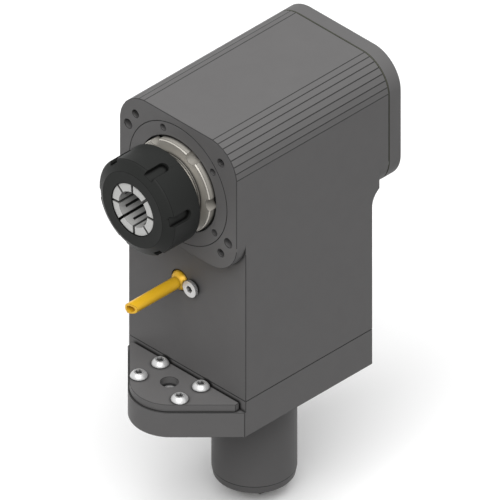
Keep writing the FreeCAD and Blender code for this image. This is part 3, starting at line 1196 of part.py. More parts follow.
def nozzle_clamp_screw():
    """The flat headed screw whose knurled rim holds the ball in its seat."""
    head_rear = CLAMP_HEAD_FRONT + CLAMP_HEAD_THICKNESS
    centre = V(CLAMP_SCREW_X, 0, CLAMP_SCREW_Z)
    head = rod(CLAMP_HEAD_R, centre + V(0, head_rear, 0), centre + V(0, CLAMP_HEAD_FRONT, 0))
    overlap = CLAMP_HEAD_THICKNESS / 4
    neck = rod(CLAMP_NECK_R, centre + V(0, BODY_FRONT - FIT_GAP, 0), centre + V(0, head_rear - overlap, 0))
    thread = rod(M6_R, centre + V(0, CLAMP_SCREW_END, 0), centre + V(0, BODY_FRONT - overlap, 0))
    socket = placed(hexagon(BUTTON_SOCKET, CLAMP_SOCKET_DEPTH), centre + V(0, CLAMP_HEAD_FRONT, 0), -Y_AXIS)
    rim = centre + V(0, 0, CLAMP_HEAD_R + CLAMP_KNURL_R / 3)
    knurl = rod(CLAMP_KNURL_R, rim + V(0, CLAMP_HEAD_FRONT - 1, 0), rim + V(0, head_rear + 1, 0))
    return head.fuse([neck, thread]).cut([socket] + around(knurl, CLAMP_KNURLS, 0, centre, Y_AXIS))


def main():
    """Builds every piece and writes each in a node of its own."""
    os.makedirs("parts", exist_ok=True)
    export("housing", housing())
    export("mounting_flange", mounting_flange())
    export("flange_screws", flange_screws())
    export("flange_dowels", flange_dowels())
    export("shank_face_seal_ring", seal_ring(V(0, 0, 0), FACE_RING_R, FACE_RING_SECTION_R, Z_AXIS))
    export("coolant_seal_rings", coolant_seal_rings())
    export("coolant_cover_plate", coolant_cover_plate())
    export("cover_plate_screws", cover_plate_screws())
    export("coolant_port_plug", coolant_port_plug())
    export("rear_gasket", rear_gasket())
    export("rear_cover", rear_cover())
    export("rear_cover_screws", rear_cover_screws())
    export("front_cover_ring", front_cover_ring())
    export("front_cover_seal_ring", front_cover_seal_ring())
    export("spindle_seal", spindle_seal())
    all_bearings()
    export("upper_bearing_circlips", bearing_circlips())
    export("foot_bearing_circlip", foot_circlip())
    export("drive_shaft_seal", drive_shaft_seal())
    export("spindle_bevel_gear", spindle_bevel_gear())
    export("drive_bevel_gear", drive_bevel_gear())
    key = key_bar(KEY_LENGTH, KEY_WIDTH, KEY_HEIGHT)
    export("spindle_gear_key", nose_gear_key_place(key))
    export("drive_gear_key", drive_gear_key_place(key))
    export("spindle", spindle())
    export("slotted_ring", slotted_ring())
    export("spindle_sleeve", spindle_sleeve())
    export("spindle_lock_nut", spindle_lock_nut())
    export("collet", collet())
    export("nut_draw_ring", nut_draw_ring())
    export("clamping_nut", clamping_nut())
    export("drive_shaft", drive_shaft())
    export("drive_gear_washer", end_washer())
    export("drive_gear_screw", end_screw())
    export("nozzle_ball", nozzle_ball())
    export("nozzle_seat_ring", nozzle_seat_ring())
    export("nozzle_tube", nozzle_tube())
    export("nozzle_clamp_screw", nozzle_clamp_screw())


main()
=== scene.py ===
"""Looks of the driven tool holder: finishes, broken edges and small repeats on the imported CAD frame."""

import itertools
import json
import logging
import math
from dataclasses import dataclass
from enum import Enum

import bmesh
import bpy
from mathutils import Matrix, Vector


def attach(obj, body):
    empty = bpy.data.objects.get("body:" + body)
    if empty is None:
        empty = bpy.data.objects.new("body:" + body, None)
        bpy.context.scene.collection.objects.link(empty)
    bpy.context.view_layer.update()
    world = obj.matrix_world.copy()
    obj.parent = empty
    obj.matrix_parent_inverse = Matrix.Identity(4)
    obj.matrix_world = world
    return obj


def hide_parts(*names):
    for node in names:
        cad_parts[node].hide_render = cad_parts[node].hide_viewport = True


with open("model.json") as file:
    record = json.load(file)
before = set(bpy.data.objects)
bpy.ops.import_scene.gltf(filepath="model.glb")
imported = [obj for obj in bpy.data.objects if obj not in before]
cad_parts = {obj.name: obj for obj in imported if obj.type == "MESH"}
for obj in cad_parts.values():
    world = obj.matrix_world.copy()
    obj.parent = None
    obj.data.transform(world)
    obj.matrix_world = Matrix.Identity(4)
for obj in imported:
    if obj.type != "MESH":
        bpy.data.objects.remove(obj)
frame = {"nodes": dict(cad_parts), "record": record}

logging.basicConfig(level=logging.INFO, format="%(message)s")
log = logging.getLogger("holder")

MM = 0.001
SPINDLE_HEIGHT = 160.0
EDGE_ATTRIBUTE = "broken_edge"


class Lay(Enum):
    """The marks that a machine leaves on a surface."""

    SPINDLE_TURNED = "rings round the spindle axis"
    MILLED = "fine even grain"
    SMOOTH = "no marks"


@dataclass(frozen=True)
class Finish:
    """One real surface finish.

    Attributes:
        name: the record's material slot.
        colour: sRGB colour as hex.
        metallic: 0 for a coating, 1 for bare polished metal.
        roughness: 0 for a mirror, 1 for chalk.
        shine: how strongly the surface mirrors, 0.5 for a bare or lacquered one.
        lay: the marks in the surface.
        relief: height of the marks, in mm.
        mottle: how much the colour wanders, as a share.
        grain: distance between neighbouring marks, in mm.
        painted_corner_shade: how much painted shade darkens corners and gaps, where shade falls, as a share.
        edge_shade: how much darker the broken edges are, as a share.
    """

    name: str
    colour: str
    metallic: float
    roughness: float
    shine: float = 0.5
    lay: Lay = Lay.SMOOTH
    relief: float = 0.0
    mottle: float = 0.0
    grain: float = 1.0
    painted_corner_shade: float = 0.9
    edge_shade: float = 0.7


# Black oxide on milled steel: a dull dark grey with a fine even grain, which hardly mirrors
BLACKENED = Finish("black_oxide_steel", "#636262", 0.0, 0.55, 0.25, Lay.MILLED, 0.012, 0.04, 1.6)
# Oiled black oxide on a turned nut: nearly black and quite dull, with fine rings round its face
BLACK_NUT = Finish("black_nut_steel", "#292A29", 0.0, 0.45, 0.08, Lay.SPINDLE_TURNED, 0.006, 0.04, 0.5)
# Ground steel of seats and faces: pale, a little warm and even, with a soft shine
GROUND = Finish("ground_steel", "#BAB6AE", 0.4, 0.36, 0.5, Lay.SPINDLE_TURNED, 0.002, 0.03, 0.4)
# Ground spring steel of the collet: as pale, more neutral and a little duller
COLLET_STEEL = Finish("collet_steel", "#BDBDBB", 0.35, 0.38, 0.5, Lay.SPINDLE_TURNED, 0.002, 0.03, 0.4)
# Hardened gear teeth, darker from the heat
GEAR_STEEL = Finish("gear_steel", "#8C8A86", 0.9, 0.38, 0.5, Lay.MILLED, 0.003, 0.06, 0.5)
# Lapped bearing steel: nearly a mirror
BEARING_STEEL = Finish("bearing_steel", "#C9C9C9", 1.0, 0.14)
# Machined brass of the ball cages: warm and dull
CAGE_BRASS = Finish("cage_brass", "#B89A50", 0.9, 0.42, 0.5, Lay.MILLED, 0.003, 0.04, 0.5)
# Bright zinc on the screws: very pale, slightly uneven
ZINC = Finish("zinc_screws", "#CFCFCF", 0.45, 0.36, 0.5, Lay.MILLED, 0.003, 0.03, 0.8)
# Turned brass of the nozzle: strong yellow
NOZZLE_BRASS = Finish("nozzle_brass", "#FBC52A", 0.18, 0.36, 0.5, Lay.MILLED, 0.002, 0.03, 0.6)
# Nitrile rubber: black with a waxy sheen
RUBBER = Finish("seal_rubber", "#1C1C1C", 0.0, 0.5, 0.3)
# Acetal: white, smooth and a little waxy
ACETAL = Finish("seat_plastic", "#E6E6DC", 0.0, 0.42)
# Fibre gasket sheet: dry, greenish grey and speckled
GASKET = Finish("gasket_paper", "#5A5C4E", 0.0, 0.85, 0.1, Lay.MILLED, 0.02, 0.12, 0.7)

FINISHES: tuple[Finish, ...] = (BLACKENED, BLACK_NUT, GROUND, COLLET_STEEL, GEAR_STEEL, BEARING_STEEL,
                                CAGE_BRASS, ZINC, NOZZLE_BRASS, RUBBER, ACETAL, GASKET)


def linear(colour: str) -> tuple[float, float, float, float]:
    """Turns an sRGB hex colour into the linear colour that shaders take.

    Args:
        colour: "#RRGGBB".

    Returns:
        Red, green, blue and an alpha of 1.
    """
    parts = [int(colour[k:k + 2], 16) / 255 for k in (1, 3, 5)]
    curve = [c / 12.92 if c <= 0.04045 else ((c + 0.055) / 1.055) ** 2.4 for c in parts]
    return curve[0], curve[1], curve[2], 1.0


def add_node(tree: bpy.types.NodeTree, kind: str, inputs: dict[str | int, object] | None = None,
             **settings: object) -> bpy.types.Node:
    """Adds one node and fills its inputs.

    Args:
        tree: the tree that gets the node.
        kind: the node's type name.
        inputs: a value or an output socket to link, for each input name or number.
        settings: properties of the node itself.

    Returns:
        The new node.
    """
    node = tree.nodes.new(kind)
    for key, value in settings.items():
        setattr(node, key, value)
    for key, value in (inputs or {}).items():
        if isinstance(value, bpy.types.NodeSocket):
            tree.links.new(value, node.inputs[key])
        else:
            node.inputs[key].default_value = value
    return node


def maths(tree: bpy.types.NodeTree, operation: str, *values: object) -> bpy.types.NodeSocket:
    """Adds one calculation.

    Args:
        tree: the tree that gets it.
        operation: the sum to do.
        values: numbers or sockets, in order.

    Returns:
        The result's socket.
    """
    return add_node(tree, "ShaderNodeMath", dict(enumerate(values)), operation=operation).outputs[0]


class MaterialShop:
    """Makes one procedural material for each finish.

    Attributes:
        corner_shade_reach: how far from a corner the painted shade reaches, in mm.
        corner_shade_samples: rays that look for a corner.
        corner_shade_gain: how soon a corner gets the full painted shade.
        cloud_scale: frequency of the colour's wandering, per mm.
        smear_scale: frequency of the changes in roughness, per mm.
        smear_spread: how far the roughness wanders in all.
        line_shade: how much darker the drawn lines are, as a share.
        bump_strength: strength of the relief.
    """

    corner_shade_reach = 2.0
    corner_shade_samples = 8
    corner_shade_gain = 2.3
    cloud_scale = 0.06
    smear_scale = 0.15
    smear_spread = 0.12
    line_shade = 0.8
    bump_strength = 0.8

    def __init__(self) -> None:
        """Builds every finish once."""
        self.made: dict[str, bpy.types.Material] = {f.name: self.build(f) for f in FINISHES}

    def place_mm(self, tree: bpy.types.NodeTree) -> bpy.types.NodeSocket:
        """Object coordinates in mm.

        Args:
            tree: the material's tree.

        Returns:
            The vector's socket.
        """
        coords = add_node(tree, "ShaderNodeTexCoord")
        scale = add_node(tree, "ShaderNodeVectorMath", {0: coords.outputs["Object"], 1: (1 / MM,) * 3},
                         operation="MULTIPLY")
        return scale.outputs[0]

    def ring_height(self, tree: bpy.types.NodeTree, place: bpy.types.NodeSocket,
                    finish: Finish) -> bpy.types.NodeSocket:
        """Height of tool marks that run round the spindle axis.

        Args:
            tree: the material's tree.
            place: the place in mm.
            finish: the finish, for its grain.

        Returns:
            A height between -1 and 1.
        """
        xyz = add_node(tree, "ShaderNodeSeparateXYZ", {0: place}).outputs
        across = maths(tree, "SUBTRACT", xyz[2], SPINDLE_HEIGHT)
        square = maths(tree, "MULTIPLY_ADD", across, across, maths(tree, "MULTIPLY", xyz[0], xyz[0]))
        run = maths(tree, "ADD", maths(tree, "SQRT", square), xyz[1])
        return maths(tree, "SINE", maths(tree, "MULTIPLY", run, 2 * math.pi / finish.grain))

    def unshaded_share(self, tree: bpy.types.NodeTree, finish: Finish) -> bpy.types.NodeSocket:
        """How much of its colour a place keeps under painted shade: open faces keep all of it, while corners,
        sockets and gaps between pieces get painted shade from ambient occlusion.

        Args:
            tree: the material's tree.
            finish: the finish, for the strength of its painted shade.

        Returns:
            1 on open faces, less in corners.
        """
        # Ambient occlusion: painted shade where corners and nearby pieces hide the light
        open_share = add_node(tree, "ShaderNodeAmbientOcclusion", {"Distance": self.corner_shade_reach * MM},
                              samples=self.corner_shade_samples).outputs["AO"]
        deep = maths(tree, "MULTIPLY", maths(tree, "SUBTRACT", 1.0, open_share), self.corner_shade_gain)
        return maths(tree, "MULTIPLY_ADD", maths(tree, "MINIMUM", deep, 1.0), -finish.painted_corner_shade, 1.0)

    def corner_lines(self, tree: bpy.types.NodeTree, place: bpy.types.NodeSocket) -> bpy.types.NodeSocket:
        """Thin lines between the flats along the head's upper corners, and where the shank's taper begins.

        Args:
            tree: the material's tree.
            place: the place in mm.

        Returns:
            1 on a line, 0 elsewhere.
        """
        head = HousingDress()
        xyz = add_node(tree, "ShaderNodeSeparateXYZ", {0: place}).outputs
        side = maths(tree, "SUBTRACT", maths(tree, "ABSOLUTE", xyz[0]), head.corner_x)
        up = maths(tree, "SUBTRACT", xyz[2], head.corner_z)
        turn = maths(tree, "DIVIDE", maths(tree, "ARCTAN2", side, up), math.radians(head.flat_step))
        off = maths(tree, "ABSOLUTE", maths(tree, "SUBTRACT", maths(tree, "FRACT", turn), 0.5))
        near = maths(tree, "LESS_THAN", off, head.line_share / 2)
        outside = maths(tree, "GREATER_THAN", maths(tree, "MINIMUM", side, up), 0.0)
        on_side = maths(tree, "LESS_THAN", maths(tree, "ABSOLUTE", xyz[1]), head.line_end)
        corner = maths(tree, "MULTIPLY", near, maths(tree, "MULTIPLY", outside, on_side))
        from_taper = maths(tree, "ABSOLUTE", maths(tree, "SUBTRACT", xyz[2], head.taper_z))
        return maths(tree, "MAXIMUM", corner, maths(tree, "LESS_THAN", from_taper, head.taper_line / 2))

    def build(self, finish: Finish) -> bpy.types.Material:
        """Makes one material.

        Args:
            finish: what it looks like.

        Returns:
            The material.
        """
        material = bpy.data.materials.new(finish.name)
        material.use_nodes = True
        tree = material.node_tree
        tree.nodes.clear()
        place = self.place_mm(tree)
        cloud = add_node(tree, "ShaderNodeTexNoise", {
            "Vector": place, "Scale": self.cloud_scale, "Detail": 4.0})
        shade = maths(tree, "MULTIPLY_ADD", cloud.outputs["Fac"], 2 * finish.mottle, 1 - finish.mottle)
        # Painted shade in corners, sockets and gaps between pieces
        shade = maths(tree, "MULTIPLY", shade, self.unshaded_share(tree, finish))
        if finish is BLACKENED:
            line = self.corner_lines(tree, place)
            shade = maths(tree, "MULTIPLY", shade,
                          maths(tree, "MULTIPLY_ADD", line, -self.line_shade, 1.0))
        edge = add_node(tree, "ShaderNodeAttribute", attribute_name=EDGE_ATTRIBUTE)
        shade = maths(tree, "MULTIPLY", shade,
                      maths(tree, "MULTIPLY_ADD", edge.outputs["Fac"], -finish.edge_shade, 1.0))
        colour = add_node(tree, "ShaderNodeVectorMath", {0: linear(finish.colour)[:3], "Scale": shade},
                          operation="SCALE")
        smear = add_node(tree, "ShaderNodeTexNoise", {
            "Vector": place, "Scale": self.smear_scale, "Detail": 3.0})
        rough = maths(tree, "MULTIPLY_ADD", smear.outputs["Fac"], self.smear_spread,
                      finish.roughness - self.smear_spread / 2)
        surface = add_node(tree, "ShaderNodeBsdfPrincipled", {
            "Base Color": colour.outputs[0], "Metallic": finish.metallic, "Roughness": rough,
            "Specular IOR Level": finish.shine})
        if finish.lay is not Lay.SMOOTH:
            if finish.lay is Lay.MILLED:
                height = add_node(tree, "ShaderNodeTexNoise", {
                    "Vector": place, "Scale": 1 / finish.grain, "Detail": 5.0}).outputs["Fac"]
            else:
                height = self.ring_height(tree, place, finish)
            bump = add_node(tree, "ShaderNodeBump", {
                "Height": height, "Distance": finish.relief * MM, "Strength": self.bump_strength})
            tree.links.new(bump.outputs[0], surface.inputs["Normal"])
        output = add_node(tree, "ShaderNodeOutputMaterial")
        tree.links.new(surface.outputs[0], output.inputs[0])
        return material


class Piece:
    """Makes and places the visible pieces that stand for CAD nodes.

    Attributes:
        merge_reach: points closer than this become one.
        sharp_angle: between normals, from which an edge is sharp.
        flat_angle: between faces, below which they become one.
        bevel_angle: between faces, from which a sharp edge is broken.
        bevel_steps: steps across a broken edge.
        pinch_angle: between two edges, below which breaking both would overshoot.
        pinch_reach: how far from such a tip the edges stay sharp.
    """

    merge_reach = 0.002 * MM
    sharp_angle = math.radians(4)
    flat_angle = math.radians(0.2)
    bevel_angle = math.radians(25)
    bevel_steps = 2
    pinch_angle = math.radians(12)
    pinch_reach = 8.0 * MM

    def __init__(self, shop: MaterialShop) -> None:
        """Keeps the shop and the record's tables.

        Args:
            shop: where materials come from.
        """
        self.shop = shop
        record = frame["record"]
        self.slots: dict[str, str] = {s["node"]: s["material_slot"] for s in record["subparts"]}
        self.bodies: dict[str, str] = {
            node: body for body, nodes in record["behaviour"]["bodies"].items() for node in nodes}

    def paint_frame(self) -> None:
        """Gives each CAD node the material of its slot."""
        for name, obj in frame["nodes"].items():
            obj.data.materials.clear()
            obj.data.materials.append(self.shop.made[self.slots[name]])

    def settle(self, obj: bpy.types.Object, *nodes: str) -> bpy.types.Object:
        """Hangs a finished piece on the body of the nodes that it stands for.

        Args:
            obj: the piece, in place.
            nodes: the CAD nodes that it replaces.

        Returns:
            The piece.
        """
        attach(obj, self.bodies[nodes[0]])
        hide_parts(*nodes)
        log.info("%s: %d faces", obj.name, len(obj.data.polygons))
        return obj

    def mark_edges(self, mesh: bpy.types.Mesh) -> None:
        """Merges a CAD mesh and marks the edges that its own normals show as sharp.

        Args:
            mesh: the copied mesh, changed in place.
        """
        count = len(mesh.loops)
        normals = [0.0] * (3 * count)
        mesh.corner_normals.foreach_get("vector", normals)
        mesh.attributes.new("cad_normal", "FLOAT_VECTOR", "CORNER").data.foreach_set("vector", normals)
        work = bmesh.new()
        work.from_mesh(mesh)
        bmesh.ops.remove_doubles(work, verts=work.verts, dist=self.merge_reach)
        layer = work.loops.layers.float_vector["cad_normal"]
        weight = work.edges.layers.float.new("bevel_weight_edge")
        for edge in work.edges:
            edge.smooth = True
            if len(edge.link_faces) != 2:
                edge.smooth = False
                continue
            for vert in edge.verts:
                pair = [next(c for c in face.loops if c.vert is vert)[layer] for face in edge.link_faces]
                if pair[0].angle(pair[1], 0.0) > self.sharp_angle:
                    edge.smooth = False
            if not edge.smooth and edge.calc_face_angle(0.0) > self.bevel_angle:
                edge[weight] = 1.0
        bmesh.ops.dissolve_limit(work, angle_limit=self.flat_angle, verts=work.verts, edges=work.edges,
                                 delimit={"SHARP"})
        self.spare_pinches(work, weight)
        for face in work.faces:
            face.smooth = True
        work.to_mesh(mesh)
        work.free()
        mesh.attributes.remove(mesh.attributes["cad_normal"])

    def spare_pinches(self, work: bmesh.types.BMesh, weight: bmesh.types.BMLayerItem) -> None:
        """Leaves long edges sharp for a few mm where two of them part at a very small angle.

        Args:
            work: the mesh, changed in place.
            weight: its layer of edges to break.
        """
        tips = []
        for vert in work.verts:
            ways = [edge.other_vert(vert).co - vert.co for edge in vert.link_edges if edge[weight]]
            if any(a.angle(b) < self.pinch_angle and max(a.length, b.length) > self.pinch_reach
                   for a, b in itertools.combinations(ways, 2)):
                tips.append(vert.co.copy())
        for tip in tips:
            for edge in [e for e in work.edges if e[weight]]:
                near, far = sorted(edge.verts, key=lambda v: (v.co - tip).length)
                inside = self.pinch_reach - (near.co - tip).length
                if (far.co - tip).length <= self.pinch_reach:
                    edge[weight] = 0.0
                elif inside > 0:
                    _, cut = bmesh.utils.edge_split(edge, near, inside / edge.calc_length())
                    for part in cut.link_edges:
                        part[weight] = float(far in part.verts)
            log.info("kept sharp near %s mm", tuple(round(c / MM, 1) for c in tip))

    def broken_edges(self, node: str, width: float) -> bpy.types.Object:
        """A copy of a CAD node with its edges broken, as on a real machined piece.

        Args:
            node: the CAD node.
            width: width of the broken edge, in mm.

        Returns:
            The new piece.
        """
        mesh = frame["nodes"][node].data.copy()
        mesh.name = "broken_" + node
        mesh.materials.append(mesh.materials[0])
        self.mark_edges(mesh)
        obj = bpy.data.objects.new("dressed_" + node, mesh)
        bpy.context.scene.collection.objects.link(obj)
        bevel = obj.modifiers.new("edges", "BEVEL")
        bevel.width = width * MM
        bevel.segments = self.bevel_steps
        bevel.limit_method = "WEIGHT"
        bevel.use_clamp_overlap = False
        bevel.harden_normals = True
        bevel.material = 1
        bevel.miter_outer = "MITER_ARC"
        flatten(obj)
        self.tell_edges(obj.data)
        return self.settle(obj, node)

    def tell_edges(self, mesh: bpy.types.Mesh) -> None:
        """Turns the second material index into a face attribute that the finishes read.

        Args:
            mesh: the mesh with broken edges, changed in place.
        """
        broken = [0] * len(mesh.polygons)
        mesh.polygons.foreach_get("material_index", broken)
        mesh.attributes.new(EDGE_ATTRIBUTE, "FLOAT", "FACE").data.foreach_set("value", broken)
        mesh.polygons.foreach_set("material_index", [0] * len(broken))
        mesh.materials.pop(index=1)


def flatten(obj: bpy.types.Object) -> None:
    """Turns an object and its modifiers into one plain mesh.

    Args:
        obj: the object, changed in place.
    """
    graph = bpy.context.evaluated_depsgraph_get()
    mesh = bpy.data.meshes.new_from_object(obj.evaluated_get(graph), depsgraph=graph)
    obj.modifiers.clear()
    obj.data = mesh


class Repeats:
    """The two node trees that place repeated things.

    Attributes:
        ball_segments: faces round a ball.
        ball_rings: faces from pole to pole.
        turn_steps: steps in one turn of a thread.
        ridge_steps: steps round the ridge of a thread.
    """

    ball_segments = 24
    ball_rings = 14
    turn_steps = 20
    ridge_steps = 6

    def __init__(self) -> None:
        """Builds both trees."""
        self.balls = self.ball_rows()
        self.threads = self.thread_turns()

    def new_tree(self, name: str, inputs: dict[str, str]) -> bpy.types.NodeTree:
        """Starts a tree with named inputs and a geometry output.

        Args:
            name: the tree's name.
            inputs: the kind of socket for each input name.

        Returns:
            The tree.
        """
        tree = bpy.data.node_groups.new(name, "GeometryNodeTree")
        for label, kind in inputs.items():
            tree.interface.new_socket(label, in_out="INPUT", socket_type="NodeSocket" + kind)
        tree.interface.new_socket("Geometry", in_out="OUTPUT", socket_type="NodeSocketGeometry")
        return tree

    def close_tree(self, tree: bpy.types.NodeTree, instances: bpy.types.NodeSocket,
                   material: bpy.types.NodeSocket) -> None:
        """Ends a tree: instances become one smooth mesh with a material.

        Args:
            tree: the tree.
            instances: what to make real.
            material: the material's socket.
        """
        real = add_node(tree, "GeometryNodeRealizeInstances", {0: instances})
        smooth = add_node(tree, "GeometryNodeSetShadeSmooth", {0: real.outputs[0]})
        dressed = add_node(tree, "GeometryNodeSetMaterial", {
            "Geometry": smooth.outputs[0], "Material": material})
        add_node(tree, "NodeGroupOutput", {0: dressed.outputs[0]})

    def ball_rows(self) -> bpy.types.NodeTree:
        """Rows of balls round the Z axis, as in a bearing or a pair of bearings.

        Returns:
            The tree.
        """
        tree = self.new_tree("ball_rows", {
            "Balls": "Int", "Rows": "Int", "Pitch Radius": "Float", "Ball Radius": "Float",
            "Row Step": "Vector", "Material": "Material"})
        given = add_node(tree, "NodeGroupInput").outputs
        circle = add_node(tree, "GeometryNodeMeshCircle", {
            "Vertices": given["Balls"], "Radius": given["Pitch Radius"]})
        ball = add_node(tree, "GeometryNodeMeshUVSphere", {
            "Segments": self.ball_segments, "Rings": self.ball_rings, "Radius": given["Ball Radius"]})
        ring = add_node(tree, "GeometryNodeInstanceOnPoints", {
            "Points": circle.outputs[0], "Instance": ball.outputs[0]})
        line = add_node(tree, "GeometryNodeMeshLine", {"Count": given["Rows"], "Offset": given["Row Step"]})
        rows = add_node(tree, "GeometryNodeInstanceOnPoints", {
            "Points": line.outputs[0], "Instance": ring.outputs[0]})
        self.close_tree(tree, rows.outputs[0], given["Material"])
        return tree

    def thread_turns(self) -> bpy.types.NodeTree:
        """Thread turns in tapped holes that stand at the corners of a rectangle.

        Returns:
            The tree.
        """
        tree = self.new_tree("thread_turns", {
            "Turns": "Float", "Radius": "Float", "Depth": "Float", "Ridge": "Float",
            "Spacing X": "Float", "Spacing Y": "Float", "Material": "Material"})
        given = add_node(tree, "NodeGroupInput").outputs
        helix = add_node(tree, "GeometryNodeCurveSpiral", {
            "Resolution": self.turn_steps, "Rotations": given["Turns"], "Start Radius": given["Radius"],
            "End Radius": given["Radius"], "Height": given["Depth"]})
        profile = add_node(tree, "GeometryNodeCurvePrimitiveCircle", {
            "Resolution": self.ridge_steps, "Radius": given["Ridge"]})
        thread = add_node(tree, "GeometryNodeCurveToMesh", {
            "Curve": helix.outputs[0], "Profile Curve": profile.outputs[0], "Fill Caps": True})
        corners = add_node(tree, "GeometryNodeMeshGrid", {
            "Size X": given["Spacing X"], "Size Y": given["Spacing Y"], "Vertices X": 2, "Vertices Y": 2})
        holes = add_node(tree, "GeometryNodeInstanceOnPoints", {
            "Points": corners.outputs[0], "Instance": thread.outputs[0]})
        self.close_tree(tree, holes.outputs[0], given["Material"])
        return tree

    def make(self, name: str, tree: bpy.types.NodeTree, values: dict[str, object],
             place: Matrix) -> bpy.types.Object:
        """Runs a tree once and keeps the result as a plain mesh.

        Args:
            name: the new piece's name.
            tree: the tree to run.
            values: a value for each named input.
            place: where the result stands, from the tree's own axes.

        Returns:
            The new piece.
        """
        obj = bpy.data.objects.new(name, bpy.data.meshes.new(name))
        bpy.context.scene.collection.objects.link(obj)
        modifier = obj.modifiers.new("repeats", "NODES")
        modifier.node_group = tree
        sockets = {item.name: item.identifier for item in tree.interface.items_tree if item.in_out == "INPUT"}
        for label, value in values.items():
            modifier[sockets[label]] = value
        flatten(obj)
        obj.data.transform(place)
        return obj


ALONG_Y = Matrix.Rotation(math.radians(-90), 4, "X")
AGAINST_Y = Matrix.Rotation(math.radians(90), 4, "X")


def at(x: float, y: float, z: float) -> Matrix:
    """A shift in mm.

    Args:
        x: along X.
        y: along Y.
        z: along Z.

    Returns:
        The shift as a matrix in metres.
    """
    return Matrix.Translation(Vector((x, y, z)) * MM)


@dataclass(frozen=True)
class HousingDress:
    """The body, the base block and the covers. Sizes are in mm.

    Attributes:
        edges: width of the broken edges of each piece.
        corner_x: from the middle to the axis of an upper corner.
        corner_z: height of that axis.
        flat_step: turn from one flat of a corner to the next, in degrees.
        line_share: width of a line between two flats, as a share of that turn.
        line_end: where the lines end, on both sides of the shank's axis.
        taper_z: height where the shank's taper begins.
        taper_line: width of the line there.
        hole_radius: of the four tapped holes in the front.
        hole_spacing_x: between them, across.
        hole_spacing_z: between them, up.
        hole_front: where they open.
        thread_depth: length of the thread.
        thread_recess: from the opening to its first turn.
        thread_pitch: from turn to turn.
        thread_ridge: radius of the round ridge.
    """

    edges: tuple[tuple[str, float], ...] = (
        ("housing", 0.4), ("mounting_flange", 0.4), ("coolant_cover_plate", 0.25), ("rear_cover", 0.4),
        ("front_cover_ring", 0.25))
    corner_x: float = 26.0
    corner_z: float = 183.0
    flat_step: float = 11.25
    line_share: float = 0.16
    line_end: float = 62.2
    taper_z: float = -69.6
    taper_line: float = 0.5
    hole_radius: float = 2.5
    hole_spacing_x: float = 70.0
    hole_spacing_z: float = 64.0
    hole_front: float = -62.5
    thread_depth: float = 12.0
    thread_recess: float = 0.8
    thread_pitch: float = 1.0
    thread_ridge: float = 0.2

    def dress(self, piece: Piece, repeats: Repeats) -> None:
        """Breaks the edges and cuts threads in the front holes.

        Args:
            piece: makes the copies.
            repeats: makes the threads.
        """
        for node, width in self.edges:
            piece.broken_edges(node, width)
        thread_end = self.hole_front + self.thread_recess + self.thread_depth
        middle = at(0, thread_end, SPINDLE_HEIGHT) @ AGAINST_Y
        threads = repeats.make("front_hole_threads", repeats.threads, {
            "Turns": self.thread_depth / self.thread_pitch, "Radius": self.hole_radius * MM,
            "Depth": self.thread_depth * MM, "Ridge": self.thread_ridge * MM,
            "Spacing X": self.hole_spacing_x * MM, "Spacing Y": self.hole_spacing_z * MM,
            "Material": piece.shop.made[BLACKENED.name]}, middle)
        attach(threads, "holder")


@dataclass(frozen=True)
class FastenerDress:
    """The screws and the plug.

    Attributes:
        edge: width of their broken edges, in mm.
        nodes: their CAD nodes.
    """

    edge: float = 0.12
    nodes: tuple[str, ...] = ("cover_plate_screws", "nozzle_clamp_screw", "coolant_port_plug",
                              "rear_cover_screws", "flange_screws")

    def dress(self, piece: Piece) -> None:
        """Breaks the edges of the screws.

        Args:
            piece: makes the copies.
        """
        for node in self.nodes:
            piece.broken_edges(node, self.edge)


@dataclass(frozen=True)
class SpindleDress:
    """The spindle, its slotted ring, the nut, the collet and the drive shaft.

    Attributes:
        edges: width of the broken edges of each piece, in mm.
    """

    edges: tuple[tuple[str, float], ...] = (
        ("clamping_nut", 0.15), ("slotted_ring", 0.15), ("spindle", 0.2), ("collet", 0.12),
        ("drive_shaft", 0.2))

    def dress(self, piece: Piece) -> None:
        """Breaks the edges of the turned pieces.

        Args:
            piece: makes the copies.
        """
        for node, width in self.edges:
            piece.broken_edges(node, width)


@dataclass(frozen=True)
class BearingDress:
    """The balls of one bearing place.

    Attributes:
        node: the CAD node of its balls.
        balls: balls in one row.
        rows: rows side by side.
        pitch_radius: from the axis to the middle of a ball, in mm.
        ball_radius: in mm.
        width: width of one bearing, in mm.
        start: where the first bearing starts along its axis, in mm.
        on_spindle: whether it sits on the spindle and not on the drive shaft.
    """

    node: str
    balls: int
    rows: int
    pitch_radius: float
    ball_radius: float
    width: float
    start: float
    on_spindle: bool

    def dress(self, piece: Piece, repeats: Repeats) -> None:
        """Puts smooth balls in the place of the CAD ones.

        Args:
            piece: hangs them on their body.
            repeats: makes them.
        """
        middle = self.start + self.width / 2
        place = at(0, middle, SPINDLE_HEIGHT) @ ALONG_Y if self.on_spindle else at(0, 0, middle)
        balls = repeats.make("smooth_" + self.node, repeats.balls, {
            "Balls": self.balls, "Rows": self.rows, "Pitch Radius": self.pitch_radius * MM,
            "Ball Radius": self.ball_radius * MM, "Row Step": (0.0, 0.0, self.width * MM),
            "Material": piece.shop.made[BEARING_STEEL.name]}, place)
        piece.settle(balls, self.node)


@dataclass(frozen=True)
class NozzleDress:
    """The tube of the coolant nozzle.

    Attributes:
        edge: width of its broken edges, in mm.
    """

    edge: float = 0.12

    def dress(self, piece: Piece) -> None:
        """Breaks the edges of the tube.

        Args:
            piece: makes the copies.
        """
        piece.broken_edges("nozzle_tube", self.edge)


